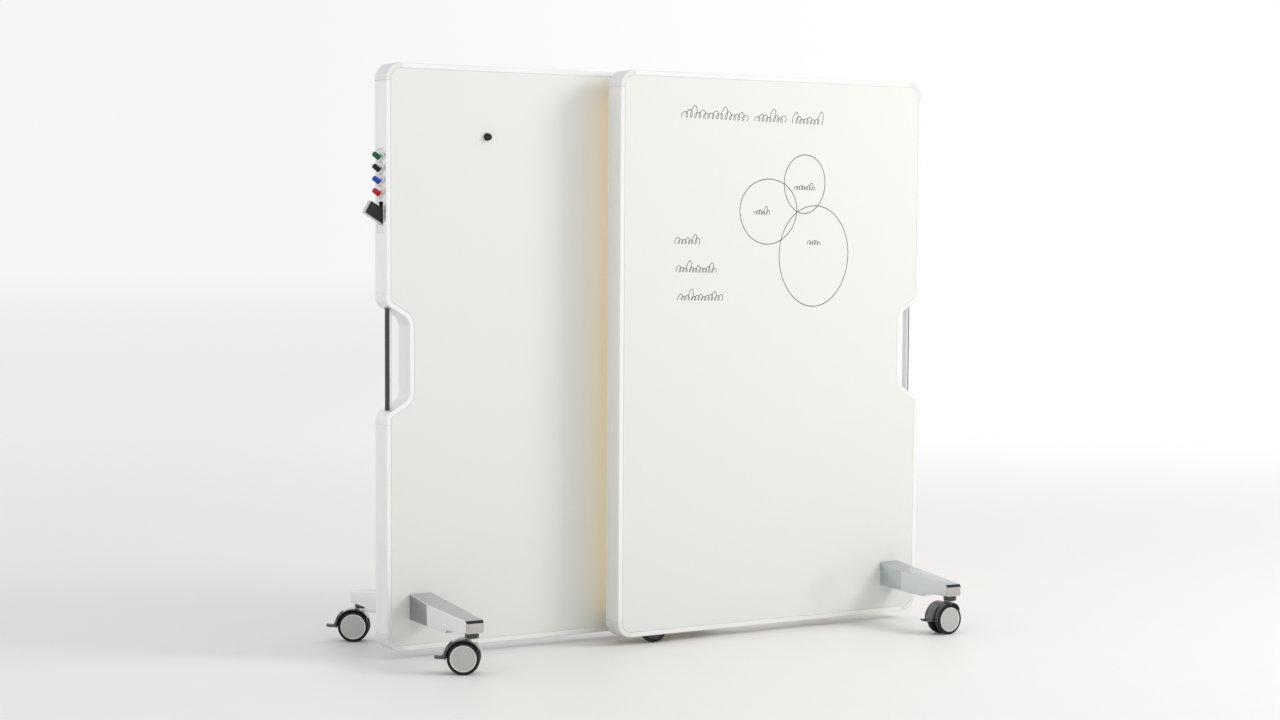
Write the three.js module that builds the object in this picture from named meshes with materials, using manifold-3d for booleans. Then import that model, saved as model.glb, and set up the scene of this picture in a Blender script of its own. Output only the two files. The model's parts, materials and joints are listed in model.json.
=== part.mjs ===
// Expandable rolling glass whiteboard: two glass panels that slide past each other on
// floor wheels. Millimetres, +Z up, floor at z = 0. X runs along the panels, the writing
// side that people face is towards -Y.
import * as THREE from 'three';
import { mergeVertices } from 'three/addons/utils/BufferGeometryUtils.js';
import Module from 'manifold-3d';

const wasm = await Module();
wasm.setup();

// ---------------------------------------------------------------- driving dimensions
const GAP = 0.3; // air between two pieces that touch on the real object
const ARC_STEPS = 5; // straight steps in each arc of an outline
const PIN_SIDES = 16;
const ROUND_SIDES = 20;
const WHEEL_SIDES = 24;

const PANEL_WIDTH = 1220;
const PANEL_HEIGHT = 1800;
const PANEL_DEPTH = 75;
const FLOOR_CLEARANCE = 28;
const CORNER_RADIUS = 50;
const CORNER_LENGTH = 54; // how far a corner casting reaches along each side
const LIP_WIDTH = 16; // frame face that shows around the glass
const WEB_WIDTH = 14; // ledge behind the glass
const EDGE_ROUND = 2.5;
const GLASS_THICKNESS = 4;

const PANEL_PITCH = 148; // between the centre planes of the two panels
const EXTENSION = 750; // how far the front panel is drawn out at rest
const FOOTPRINT_SHIFT_X = 36; // these two put the origin under the middle of the whole
const FOOTPRINT_SHIFT_Y = -21; // object, with its eraser and casters

// Handle notch in the outer side of each panel, and the grab bar that spans it.
const NOTCH_DEPTH = 80;
const NOTCH_HALF_HEIGHT = 186.5;
const NOTCH_OUTER_RADIUS = 32;
const NOTCH_INNER_RADIUS = 40.6;
const NOTCH_SLANT = THREE.MathUtils.degToRad(60);
const COVE_HALF_HEIGHT = 200; // the casting that carries the notch
const BAR_INSET = 16; // from the side of the panel to the grip
const BAR_WIDTH = 22;
const BAR_DEPTH = 18;
const GRIP_DEPTH = 8.5;

// Legs and casters.
const LEG_INSET = 116.5; // from the outer side of the panel to the leg's centre line
const LEG_REACH = 382; // from the panel's centre plane to the tip
const STEM_REACH = 358; // from the panel's centre plane to the caster's stem
const LEG_TIP_BOTTOM = 124.6;
const SPIGOT_WIDTH = 46;
const SPIGOT_HEIGHT = 50;
const SPIGOT_LENGTH = 30;
const SPIGOT_Z = 164;
const STEM_RADIUS = 5.5;
const STEM_TOP = 148;
const WHEEL_RADIUS = 50;
const CASTER_TRAIL = 24;
const TREAD_WIDTH = 20;
const TREAD_INNER = 11.5; // from the middle of the caster to a wheel's inner face
const AXLE_RADIUS = 6;
const HOOD_INNER_RADIUS = 52.5;
const HOOD_OUTER_RADIUS = 57;
const HOOD_HALF_WIDTH = 33;
const COLLAR_RADIUS = 21.5;
const PEDAL_INNER_RADIUS = 57.6;
const PEDAL_OUTER_RADIUS = 62;
const PEDAL_REACH = 89; // from the axle to the pedal's toe
const PEDAL_HALF_WIDTH = 15;
const SWIVEL_LEFT = THREE.MathUtils.degToRad(146.4); // heading of the trail on the left legs
const SWIVEL_RIGHT = Math.PI;

// Fixed wheel under the inner end of each panel.
const SUPPORT_INSET = 160;
const SUPPORT_HALF_WIDTH = 12;
const SUPPORT_AXLE_HALF = 19;
const SUPPORT_POCKET = 108;
const SUPPORT_POCKET_DEPTH = 28;

// Guide rails behind the front panel, and the shoes on the rear panel that run in them.
const RAIL_HALF_HEIGHT = 17;
const RAIL_DEPTH = 22;
const RAIL_WALL = 4;
const RAIL_SLOT_HALF = 6;
const RAIL_START = 24; // from the front panel's inner side
const RAIL_LENGTH = 1076;
const RAIL_EDGE_OFFSET = 33; // from the panel's top or bottom edge to the rail's middle
const SHOE_INSET = 70; // from the rear panel's inner side to the shoe's middle
const SHOE_LENGTH = 90;

// Marker dock in the side of the rear panel.
const DOCK_BOTTOM = 1314;
const DOCK_TOP = 1568;
const DOCK_WIDTH = 45;
const DOCK_DEPTH = 84;
const MARKER_TILT = THREE.MathUtils.degToRad(35);
const MARKER_TOP_Z = 1537.5; // where the top marker's axis meets the panel's side
const MARKER_PITCH = 36.7;
const MARKER_RADIUS = 8.4;
const MARKER_LENGTH = 120;
const MARKER_OUT = 29; // length that stands out of the dock
const MARKER_PLUG = 24.5; // coloured end outside the dock
const MARKER_CLEARANCE = 0.8;
const SCOOP_RADIUS = 13; // ring let in around each marker's mouth
const SCOOP_DEPTH = 2;
const ERASER_TILT = THREE.MathUtils.degToRad(31);
const ERASER_Z = 1364.8; // where the eraser's centre line meets the panel's side
const ERASER_OUT = 56;
const ERASER_LENGTH = 104;
const ERASER_HEIGHT = 44;
const ERASER_BODY = 18;
const ERASER_FELT = 6;
const ERASER_Y = -8; // face between the eraser's body and its felt
const POCKET_TOP = 1408; // top of the recess above the eraser
const POCKET_DEPTH = 8;

const MAGNET_FROM_SIDE = 352;
const MAGNET_Z = 1611;

// ---------------------------------------------------------------- derived places
const HALF_WIDTH = PANEL_WIDTH / 2;
const HALF_DEPTH = PANEL_DEPTH / 2;
const PANEL_TOP = FLOOR_CLEARANCE + PANEL_HEIGHT;
const PANEL_MIDDLE = FLOOR_CLEARANCE + PANEL_HEIGHT / 2;
const CORE_HALF_DEPTH = HALF_DEPTH - GLASS_THICKNESS - GAP;
const REAR_X = FOOTPRINT_SHIFT_X - EXTENSION / 2;
const FRONT_X = FOOTPRINT_SHIFT_X + EXTENSION / 2;
const REAR_Y = FOOTPRINT_SHIFT_Y + PANEL_PITCH / 2;
const FRONT_Y = FOOTPRINT_SHIFT_Y - PANEL_PITCH / 2;
const OUTER_SIDE = -HALF_WIDTH; // outer side of a panel, in the panel's own frame

// ---------------------------------------------------------------- finishes
function finish(color, roughness, metalness) {
  return new THREE.MeshStandardMaterial({ color, roughness, metalness });
}

const FINISHES = {
  rail: finish(0xd6d8d8, 0.38, 0.85),
  corner: finish(0xc2c6c8, 0.3, 0.9),
  glass: finish(0xe6ebe6, 0.05, 0.0),
  amberGlass: finish(0xe9c46f, 0.05, 0.0),
  core: finish(0xcfcbc2, 0.9, 0.0),
  leg: finish(0xb9c0c5, 0.32, 0.9),
  barMetal: finish(0xd9d9db, 0.3, 0.9),
  grip: finish(0x4a444b, 0.6, 0.0),
  hood: finish(0x2f2f33, 0.2, 0.3),
  tyre: finish(0x1d1c1c, 0.6, 0.0),
  pedal: finish(0x55545c, 0.3, 0.2),
  guide: finish(0x9ea3a6, 0.4, 0.9),
  shoe: finish(0x2a2a2c, 0.5, 0.0),
  dock: finish(0xf1f1f3, 0.35, 0.0),
  felt: finish(0x333134, 0.95, 0.0),
  eraser: finish(0xc9c8ca, 0.4, 0.1),
  magnet: finish(0x141414, 0.3, 0.1),
};

const MARKER_COLORS = { green: 0x0d6b45, black: 0x19181b, blue: 0x1c53b4, red: 0xc4202c };

// ---------------------------------------------------------------- solid helpers
function toSolid(geometry) {
  const bare = geometry.clone();
  bare.deleteAttribute('normal');
  bare.deleteAttribute('uv');
  const merged = mergeVertices(bare, 1e-4);
  const mesh = new wasm.Mesh({
    numProp: 3,
    vertProperties: Float32Array.from(merged.attributes.position.array),
    triVerts: Uint32Array.from(merged.index.array),
  });
  return new wasm.Manifold(mesh);
}

function toGeometry(solid) {
  const mesh = solid.getMesh();
  const geometry = new THREE.BufferGeometry();
  geometry.setAttribute('position', new THREE.BufferAttribute(mesh.vertProperties, 3));
  geometry.setIndex(new THREE.BufferAttribute(mesh.triVerts, 1));
  geometry.computeVertexNormals();
  return geometry;
}

function namedMesh(name, solid, material) {
  const mesh = new THREE.Mesh(toGeometry(solid), material);
  mesh.name = name;
  return mesh;
}

function boxSolid(low, high) {
  const size = high.map((value, axis) => value - low[axis]);
  const middle = high.map((value, axis) => (value + low[axis]) / 2);
  return toSolid(new THREE.BoxGeometry(...size).translate(...middle));
}

// A cylinder between two points.
function rodSolid(start, end, radius, sides) {
  const from = new THREE.Vector3(...start);
  const along = new THREE.Vector3(...end).sub(from);
  const geometry = new THREE.CylinderGeometry(radius, radius, along.length(), sides);
  const turn = new THREE.Quaternion().setFromUnitVectors(
    new THREE.Vector3(0, 1, 0),
    along.clone().normalize(),
  );
  geometry.applyQuaternion(turn);
  const middle = from.addScaledVector(along, 0.5);
  return toSolid(geometry.translate(middle.x, middle.y, middle.z));
}

function extruded(shape, depth, options = {}) {
  return new THREE.ExtrudeGeometry(shape, {
    depth,
    bevelEnabled: false,
    curveSegments: ARC_STEPS,
    ...options,
  });
}

// An outline drawn in X and Z, extruded along Y from `front` to `back`.
function slabSolid(shape, front, back) {
  const geometry = extruded(shape, back - front).rotateX(Math.PI / 2);
  return toSolid(geometry.translate(0, back, 0));
}

// An outline drawn in Y and Z, extruded along X from `left` to `right`.
function barSolid(shape, left, right) {
  const turn = new THREE.Matrix4().makeBasis(
    new THREE.Vector3(0, 1, 0),
    new THREE.Vector3(0, 0, 1),
    new THREE.Vector3(1, 0, 0),
  );
  const geometry = extruded(shape, right - left).applyMatrix4(turn);
  return toSolid(geometry.translate(left, 0, 0));
}

// An outline drawn in X and Y, extruded along Z from `bottom` to `top`.
function columnSolid(shape, bottom, top) {
  return toSolid(extruded(shape, top - bottom).translate(0, 0, bottom));
}

function polygon(points) {
  return new THREE.Shape(points.map(([x, y]) => new THREE.Vector2(x, y)));
}

function rectangle(left, bottom, right, top) {
  return polygon([
    [left, bottom],
    [right, bottom],
    [right, top],
    [left, top],
  ]);
}

// A profile of [radius, height] points turned about the Y axis. Its flats, not its
// corners, keep the stated radius, and one of them faces straight down.
function turnedSolid(profile, sides) {
  const halfStep = Math.PI / sides;
  const points = profile.map(
    ([radius, height]) => new THREE.Vector2(radius / Math.cos(halfStep), height),
  );
  return toSolid(new THREE.LatheGeometry(points, sides, halfStep));
}

// ---------------------------------------------------------------- panel
// Centres of the arcs at the upper end of the handle notch.
function notchArcCentres() {
  const outer = new THREE.Vector2(
    OUTER_SIDE + NOTCH_OUTER_RADIUS,
    PANEL_MIDDLE + NOTCH_HALF_HEIGHT,
  );
  const turn = 1 - Math.cos(NOTCH_SLANT);
  const arcsDepth = (NOTCH_OUTER_RADIUS + NOTCH_INNER_RADIUS) * turn;
  const slantLength = (NOTCH_DEPTH - arcsDepth) / Math.sin(NOTCH_SLANT);
  const arcsDrop = (NOTCH_OUTER_RADIUS + NOTCH_INNER_RADIUS) * Math.sin(NOTCH_SLANT);
  const inner = new THREE.Vector2(
    OUTER_SIDE + NOTCH_DEPTH - NOTCH_INNER_RADIUS,
    outer.y - arcsDrop - slantLength * Math.cos(NOTCH_SLANT),
  );
  return { outer, inner };
}

// Outline of a panel seen from the front, drawn `inset` inside its outer edge.
function panelOutline(inset) {
  const left = OUTER_SIDE + CORNER_RADIUS;
  const right = HALF_WIDTH - CORNER_RADIUS;
  const bottom = FLOOR_CLEARANCE + CORNER_RADIUS;
  const top = PANEL_TOP - CORNER_RADIUS;
  const corner = CORNER_RADIUS - inset;
  const convex = NOTCH_OUTER_RADIUS - inset;
  const concave = NOTCH_INNER_RADIUS + inset;
  const { outer, inner } = notchArcCentres();
  const quarter = Math.PI / 2;
  const shape = new THREE.Shape();
  shape.absarc(left, bottom, corner, Math.PI, Math.PI + quarter);
  shape.absarc(right, bottom, corner, -quarter, 0);
  shape.absarc(right, top, corner, 0, quarter);
  shape.absarc(left, top, corner, quarter, Math.PI);
  shape.absarc(outer.x, outer.y, convex, Math.PI, Math.PI + NOTCH_SLANT);
  shape.absarc(inner.x, inner.y, concave, NOTCH_SLANT, 0, true);
  shape.absarc(inner.x, 2 * PANEL_MIDDLE - inner.y, concave, 0, -NOTCH_SLANT, true);
  shape.absarc(
    outer.x,
    2 * PANEL_MIDDLE - outer.y,
    convex,
    Math.PI - NOTCH_SLANT,
    Math.PI,
  );
  return shape;
}

// The whole frame before it is cut into rails, corners and the notch casting.
function frameRing() {
  const round = { bevelEnabled: true, bevelSegments: 1, bevelSize: EDGE_ROUND };
  const outside = extruded(panelOutline(0), PANEL_DEPTH - 2 * EDGE_ROUND, {
    ...round,
    bevelThickness: EDGE_ROUND,
    bevelOffset: -EDGE_ROUND,
  }).rotateX(Math.PI / 2);
  const body = toSolid(outside.translate(0, HALF_DEPTH - EDGE_ROUND, 0));
  const window = slabSolid(panelOutline(LIP_WIDTH + WEB_WIDTH), -PANEL_DEPTH, PANEL_DEPTH);
  const recess = panelOutline(LIP_WIDTH);
  const frontRecess = slabSolid(recess, -PANEL_DEPTH, -CORE_HALF_DEPTH);
  const backRecess = slabSolid(recess, CORE_HALF_DEPTH, PANEL_DEPTH);
  return body.subtract(window).subtract(frontRecess).subtract(backRecess);
}

// Regions of the panel that belong to each piece of the frame: [left, bottom, right, top].
function frameRegions() {
  const far = 2000;
  const innerSide = HALF_WIDTH - CORNER_LENGTH;
  const outerSide = OUTER_SIDE + CORNER_LENGTH;
  const low = FLOOR_CLEARANCE + CORNER_LENGTH;
  const high = PANEL_TOP - CORNER_LENGTH;
  const coveLow = PANEL_MIDDLE - COVE_HALF_HEIGHT;
  const coveHigh = PANEL_MIDDLE + COVE_HALF_HEIGHT;
  return {
    frame_top: [outerSide, high, innerSide, far],
    frame_bottom: [outerSide, -far, innerSide, low],
    frame_inner_side: [0, low, far, high],
    frame_outer_side_upper: [-far, coveHigh, 0, high],
    frame_outer_side_lower: [-far, low, 0, coveLow],
    handle_cove: [-far, coveLow, 0, coveHigh],
    corner_top_inner: [innerSide, high, far, far],
    corner_top_outer: [-far, high, outerSide, far],
    corner_bottom_inner: [innerSide, -far, far, low],
    corner_bottom_outer: [-far, -far, outerSide, low],
  };
}

function supportPocket(top) {
  const x = HALF_WIDTH - SUPPORT_INSET;
  const half = SUPPORT_POCKET / 2;
  return boxSolid(
    [x - half, -SUPPORT_POCKET_DEPTH / 2, 0],
    [x + half, SUPPORT_POCKET_DEPTH / 2, top],
  );
}

function supportAxleHole() {
  const x = HALF_WIDTH - SUPPORT_INSET;
  const reach = SUPPORT_AXLE_HALF + 1;
  return rodSolid([x, -reach, WHEEL_RADIUS], [x, reach, WHEEL_RADIUS], AXLE_RADIUS + 0.5, PIN_SIDES);
}

function dockSpace(clearance, depth) {
  const half = DOCK_WIDTH / 2 + clearance;
  return boxSolid(
    [OUTER_SIDE - clearance, -half, DOCK_BOTTOM - clearance],
    [OUTER_SIDE + depth + clearance, half, DOCK_TOP + clearance],
  );
}

function framePieces(prefix, hasDock) {
  const ring = frameRing();
  const cuts = {
    frame_bottom: [supportPocket(PANEL_MIDDLE), supportAxleHole()],
    frame_outer_side_upper: hasDock ? [dockSpace(GAP, DOCK_DEPTH)] : [],
  };
  return Object.entries(frameRegions()).map(([name, [left, bottom, right, top]]) => {
    const half = GAP / 2;
    const region = boxSolid(
      [left + half, -PANEL_DEPTH, bottom + half],
      [right - half, PANEL_DEPTH, top - half],
    );
    const whole = ring.intersect(region);
    const piece = (cuts[name] ?? []).reduce((solid, cut) => solid.subtract(cut), whole);
    const material = name.startsWith('corner') ? FINISHES.corner : FINISHES.rail;
    return namedMesh(`${prefix}_${name}`, piece, material);
  });
}

function spigotHole(clearance) {
  const x = OUTER_SIDE + LEG_INSET;
  const halfWidth = SPIGOT_WIDTH / 2 + clearance;
  const halfHeight = SPIGOT_HEIGHT / 2 + clearance;
  return rectangle(x - halfWidth, SPIGOT_Z - halfHeight, x + halfWidth, SPIGOT_Z + halfHeight);
}

function glassPane(name, facing, material) {
  const shape = panelOutline(LIP_WIDTH + GAP);
  shape.holes.push(spigotHole(2));
  const outside = facing * HALF_DEPTH;
  const inside = facing * (HALF_DEPTH - GLASS_THICKNESS);
  const pane = slabSolid(shape, Math.min(outside, inside), Math.max(outside, inside));
  return namedMesh(name, pane, material);
}

function coreBoard(prefix, hasDock) {
  const shape = panelOutline(LIP_WIDTH + WEB_WIDTH + GAP);
  shape.holes.push(spigotHole(GAP));
  const board = slabSolid(shape, -CORE_HALF_DEPTH, CORE_HALF_DEPTH);
  const pocketTop = 2 * WHEEL_RADIUS + 4;
  const pocketed = board.subtract(supportPocket(pocketTop));
  const finished = hasDock ? pocketed.subtract(dockSpace(GAP, DOCK_DEPTH)) : pocketed;
  return namedMesh(`${prefix}_core_board`, finished, FINISHES.core);
}

// ---------------------------------------------------------------- handle
// Cuts an upright to the length that fits between the ends of the notch.
function fitToNotch(upright) {
  return upright.subtract(slabSolid(panelOutline(-GAP), -PANEL_DEPTH, PANEL_DEPTH));
}

function handlePieces(prefix) {
  const outside = OUTER_SIDE + BAR_INSET;
  const joint = outside + GRIP_DEPTH;
  const inside = outside + BAR_DEPTH;
  const half = BAR_WIDTH / 2;
  const corner = 4;
  const low = PANEL_MIDDLE - NOTCH_HALF_HEIGHT;
  const high = PANEL_MIDDLE + NOTCH_HALF_HEIGHT;

  const bar = new THREE.Shape();
  bar.moveTo(joint + GAP, -half);
  bar.absarc(inside - corner, -half + corner, corner, -Math.PI / 2, 0);
  bar.absarc(inside - corner, half - corner, corner, 0, Math.PI / 2);
  bar.lineTo(joint + GAP, half);

  const grip = new THREE.Shape();
  grip.absellipse(joint, 0, GRIP_DEPTH, half, Math.PI / 2, Math.PI * 1.5, false, 0);

  return [
    namedMesh(`${prefix}_handle_bar`, fitToNotch(columnSolid(bar, low, high)), FINISHES.barMetal),
    namedMesh(`${prefix}_handle_grip`, fitToNotch(columnSolid(grip, low, high)), FINISHES.grip),
  ];
}

// ---------------------------------------------------------------- legs
// A leg that reaches towards -Y, with its centre line at x = 0 and the panel's centre
// plane at y = 0.
function legSolid() {
  const root = -(HALF_DEPTH + GAP);
  const kink = -158;
  const step = -262;
  const tip = -LEG_REACH;
  const plan = polygon([
    [38, root],
    [-38, root],
    [-42, kink],
    [-30.5, tip + 9],
    [-27, tip + 2.5],
    [-18, tip],
    [18, tip],
    [27, tip + 2.5],
    [30.5, tip + 9],
    [42, kink],
  ]);
  const side = polygon([
    [root, 124],
    [kink, 118],
    [step, 112],
    [step - 8, 121],
    [-330, LEG_TIP_BOTTOM],
    [tip - 1, LEG_TIP_BOTTOM + 1.4],
    [tip - 1, 154],
    [tip + 8, 162.5],
    [kink, 186],
    [root, 204],
  ]);
  const arm = columnSolid(plan, 90, 230).intersect(barSolid(side, -60, 60));
  const spigotEnd = -(HALF_DEPTH - SPIGOT_LENGTH);
  const spigot = boxSolid(
    [-SPIGOT_WIDTH / 2, root - 10, SPIGOT_Z - SPIGOT_HEIGHT / 2],
    [SPIGOT_WIDTH / 2, spigotEnd, SPIGOT_Z + SPIGOT_HEIGHT / 2],
  );
  const socket = rodSolid(
    [0, -STEM_REACH, 100],
    [0, -STEM_REACH, STEM_TOP + 2],
    STEM_RADIUS + 0.5,
    PIN_SIDES,
  );
  return arm.add(spigot).subtract(socket);
}

function legPieces(prefix, names) {
  const leg = legSolid();
  return names.map((name, index) => {
    const mesh = namedMesh(`${prefix}_${name}`, leg, FINISHES.leg);
    mesh.position.x = OUTER_SIDE + LEG_INSET;
    mesh.rotation.z = index * Math.PI;
    return mesh;
  });
}

// ---------------------------------------------------------------- casters
// Everything in a caster is drawn with its stem on the Z axis and its axle behind it,
// towards +X, so a turn about Z points the whole caster.
function arcShell(innerRadius, outerRadius, fromDegrees, toDegrees, halfWidth) {
  const from = THREE.MathUtils.degToRad(fromDegrees);
  const to = THREE.MathUtils.degToRad(toDegrees);
  const shape = new THREE.Shape();
  shape.absarc(CASTER_TRAIL, WHEEL_RADIUS, outerRadius, from, to);
  shape.absarc(CASTER_TRAIL, WHEEL_RADIUS, innerRadius, to, from, true);
  const geometry = extruded(shape, 2 * halfWidth, { curveSegments: 2 * ARC_STEPS });
  return toSolid(geometry.rotateX(Math.PI / 2).translate(0, halfWidth, 0));
}

function casterBody(name) {
  const axle = [CASTER_TRAIL, WHEEL_RADIUS];
  const webHalf = TREAD_INNER - 2.5;
  const hood = arcShell(HOOD_INNER_RADIUS, HOOD_OUTER_RADIUS, -4, 150, HOOD_HALF_WIDTH);
  const web = rodSolid([axle[0], -webHalf, axle[1]], [axle[0], webHalf, axle[1]], 38, ROUND_SIDES);
  const spine = arcShell(30, HOOD_INNER_RADIUS + 1, -2, 148, webHalf);
  const collar = rodSolid([0, 0, 98], [0, 0, LEG_TIP_BOTTOM - GAP], COLLAR_RADIUS, ROUND_SIDES);
  const stem = rodSolid([0, 0, 110], [0, 0, STEM_TOP], STEM_RADIUS, PIN_SIDES);
  const wheelRoom = [-1, 1].map((side) =>
    rodSolid(
      [axle[0], side * webHalf, axle[1]],
      [axle[0], side * 60, axle[1]],
      HOOD_INNER_RADIUS,
      ROUND_SIDES,
    ),
  );
  const boreEnds = [-60, 60].map((y) => [axle[0], y, axle[1]]);
  const bore = rodSolid(...boreEnds, AXLE_RADIUS + 0.5, PIN_SIDES);
  const joined = [web, spine, collar].reduce((solid, next) => solid.add(next), hood);
  const hollowed = [...wheelRoom, bore].reduce((solid, cut) => solid.subtract(cut), joined);
  return namedMesh(name, hollowed.add(stem), FINISHES.hood);
}

function twinWheels(name) {
  const outer = TREAD_INNER + TREAD_WIDTH;
  const side = [
    [AXLE_RADIUS, TREAD_INNER],
    [WHEEL_RADIUS - 3, TREAD_INNER],
    [WHEEL_RADIUS, TREAD_INNER + 4],
    [WHEEL_RADIUS, outer - 5],
    [WHEEL_RADIUS - 5, outer],
    [0, outer],
  ];
  const mirrored = side.map(([radius, height]) => [radius, -height]).reverse();
  const mesh = namedMesh(name, turnedSolid([...mirrored, ...side], WHEEL_SIDES), FINISHES.tyre);
  mesh.position.set(CASTER_TRAIL, 0, WHEEL_RADIUS);
  return mesh;
}

function brakePedal(name) {
  const arc = arcShell(PEDAL_INNER_RADIUS, PEDAL_OUTER_RADIUS, -4, 53, PEDAL_HALF_WIDTH);
  const toe = PEDAL_REACH;
  const heel = PEDAL_INNER_RADIUS + 1;
  const shape = polygon(
    [
      [heel, -4],
      [toe - 6, -3.5],
      [toe, 1],
      [toe - 1, 4.5],
      [toe - 6, 4],
      [toe - 14, 2.5],
      [PEDAL_OUTER_RADIUS + 3, 5],
      [PEDAL_OUTER_RADIUS - 0.5, 14],
      [heel, 10],
    ].map(([x, z]) => [x + CASTER_TRAIL, z + WHEEL_RADIUS]),
  );
  const lever = slabSolid(shape, -PEDAL_HALF_WIDTH, PEDAL_HALF_WIDTH);
  return namedMesh(name, arc.add(lever), FINISHES.pedal);
}

function caster(prefix, x, y, heading) {
  const group = new THREE.Group();
  group.position.set(x, y, 0);
  group.rotation.z = heading;
  group.add(casterBody(`${prefix}_caster_body`));
  group.add(twinWheels(`${prefix}_caster_wheels`));
  group.add(brakePedal(`${prefix}_brake_pedal`));
  return group;
}

function supportWheel(name) {
  const half = SUPPORT_HALF_WIDTH;
  const side = [
    [WHEEL_RADIUS, half - 4],
    [WHEEL_RADIUS - 4, half],
    [AXLE_RADIUS, half],
    [AXLE_RADIUS, SUPPORT_AXLE_HALF],
    [0, SUPPORT_AXLE_HALF],
  ];
  const mirrored = side.map(([radius, height]) => [radius, -height]).reverse();
  const mesh = namedMesh(name, turnedSolid([...mirrored, ...side], WHEEL_SIDES), FINISHES.tyre);
  mesh.position.set(HALF_WIDTH - SUPPORT_INSET, 0, WHEEL_RADIUS);
  return mesh;
}

// ---------------------------------------------------------------- marker dock
// A point in the X-Z plane at a distance outward along a line that leaves the panel's
// side at height z and rises outward by `tilt`.
function alongTilt(z, tilt, outward) {
  return [OUTER_SIDE - outward * Math.cos(tilt), 0, z + outward * Math.sin(tilt)];
}

function markerHeights() {
  return Object.keys(MARKER_COLORS).map((color, index) => MARKER_TOP_Z - index * MARKER_PITCH);
}

// A block along a tilted line, `height` across it and from `front` to `back` in Y.
function tiltedBlock(z, tilt, inward, outward, height, front, back) {
  const geometry = new THREE.BoxGeometry(outward + inward, back - front, height);
  geometry.translate((inward - outward) / 2, (front + back) / 2, 0);
  return toSolid(geometry.rotateY(tilt).translate(OUTER_SIDE, 0, z));
}

function markerDock() {
  const block = dockSpace(0, DOCK_DEPTH);
  const face = boxSolid([OUTER_SIDE - 5, -60, 0], [OUTER_SIDE + 1.2, 60, PANEL_TOP]);
  const inward = MARKER_LENGTH - MARKER_OUT + 1;
  const bores = markerHeights().map((z) =>
    rodSolid(
      alongTilt(z, MARKER_TILT, 60),
      alongTilt(z, MARKER_TILT, -inward),
      MARKER_RADIUS + MARKER_CLEARANCE,
      PIN_SIDES,
    ),
  );
  const scoops = markerHeights().map((z) =>
    rodSolid(
      alongTilt(z, MARKER_TILT, 40),
      alongTilt(z, MARKER_TILT, -SCOOP_DEPTH),
      SCOOP_RADIUS,
      PIN_SIDES,
    ),
  );
  const slot = tiltedBlock(
    ERASER_Z,
    ERASER_TILT,
    ERASER_LENGTH - ERASER_OUT + 0.5,
    200,
    ERASER_HEIGHT + 1.2,
    ERASER_Y - ERASER_FELT - 1,
    ERASER_Y + ERASER_BODY + 1,
  );
  const pocket = boxSolid(
    [OUTER_SIDE - 5, ERASER_Y - ERASER_FELT - 1, ERASER_Z],
    [OUTER_SIDE + POCKET_DEPTH, ERASER_Y + ERASER_BODY + 1, POCKET_TOP],
  );
  const cuts = [face, ...bores, ...scoops, slot, pocket];
  const dock = cuts.reduce((solid, cut) => solid.subtract(cut), block);
  return namedMesh('marker_dock', dock, FINISHES.dock);
}

function markers() {
  const profile = [
    [0, 0],
    [MARKER_RADIUS - 2, 0],
    [MARKER_RADIUS, 2.5],
    [MARKER_RADIUS, MARKER_PLUG],
    [MARKER_RADIUS - 0.6, MARKER_PLUG + 1],
    [MARKER_RADIUS - 0.6, MARKER_LENGTH],
    [0, MARKER_LENGTH],
  ];
  const heights = markerHeights();
  return Object.entries(MARKER_COLORS).map(([color, hex], index) => {
    const material = finish(hex, 0.35, 0);
    const mesh = namedMesh(`marker_${color}`, turnedSolid(profile, PIN_SIDES), material);
    mesh.position.set(...alongTilt(heights[index], MARKER_TILT, MARKER_OUT));
    mesh.rotation.z = -Math.PI / 2;
    mesh.rotation.y = MARKER_TILT;
    mesh.rotation.order = 'YZX';
    return mesh;
  });
}

function eraserPieces() {
  const inward = ERASER_LENGTH - ERASER_OUT;
  const body = tiltedBlock(
    ERASER_Z,
    ERASER_TILT,
    inward,
    ERASER_OUT,
    ERASER_HEIGHT,
    ERASER_Y + GAP,
    ERASER_Y + ERASER_BODY,
  );
  const felt = tiltedBlock(
    ERASER_Z,
    ERASER_TILT,
    inward - 2,
    ERASER_OUT - 2.5,
    ERASER_HEIGHT - 5,
    ERASER_Y - ERASER_FELT,
    ERASER_Y,
  );
  return [
    namedMesh('eraser_body', body, FINISHES.eraser),
    namedMesh('eraser_felt', felt, FINISHES.felt),
  ];
}

function roundMagnet() {
  const profile = [
    [0, 0],
    [12, 0],
    [12, 3],
    [8, 5.5],
    [8, 8],
    [10.5, 11],
    [9, 14],
    [0, 14.5],
  ];
  const mesh = namedMesh('round_magnet', turnedSolid(profile, ROUND_SIDES), FINISHES.magnet);
  mesh.position.set(OUTER_SIDE + MAGNET_FROM_SIDE, -HALF_DEPTH - GAP, MAGNET_Z);
  mesh.rotation.z = Math.PI;
  return mesh;
}

// ---------------------------------------------------------------- sliding guides
const GUIDE_LEVELS = {
  upper: PANEL_TOP - RAIL_EDGE_OFFSET,
  lower: FLOOR_CLEARANCE + RAIL_EDGE_OFFSET,
};

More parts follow.
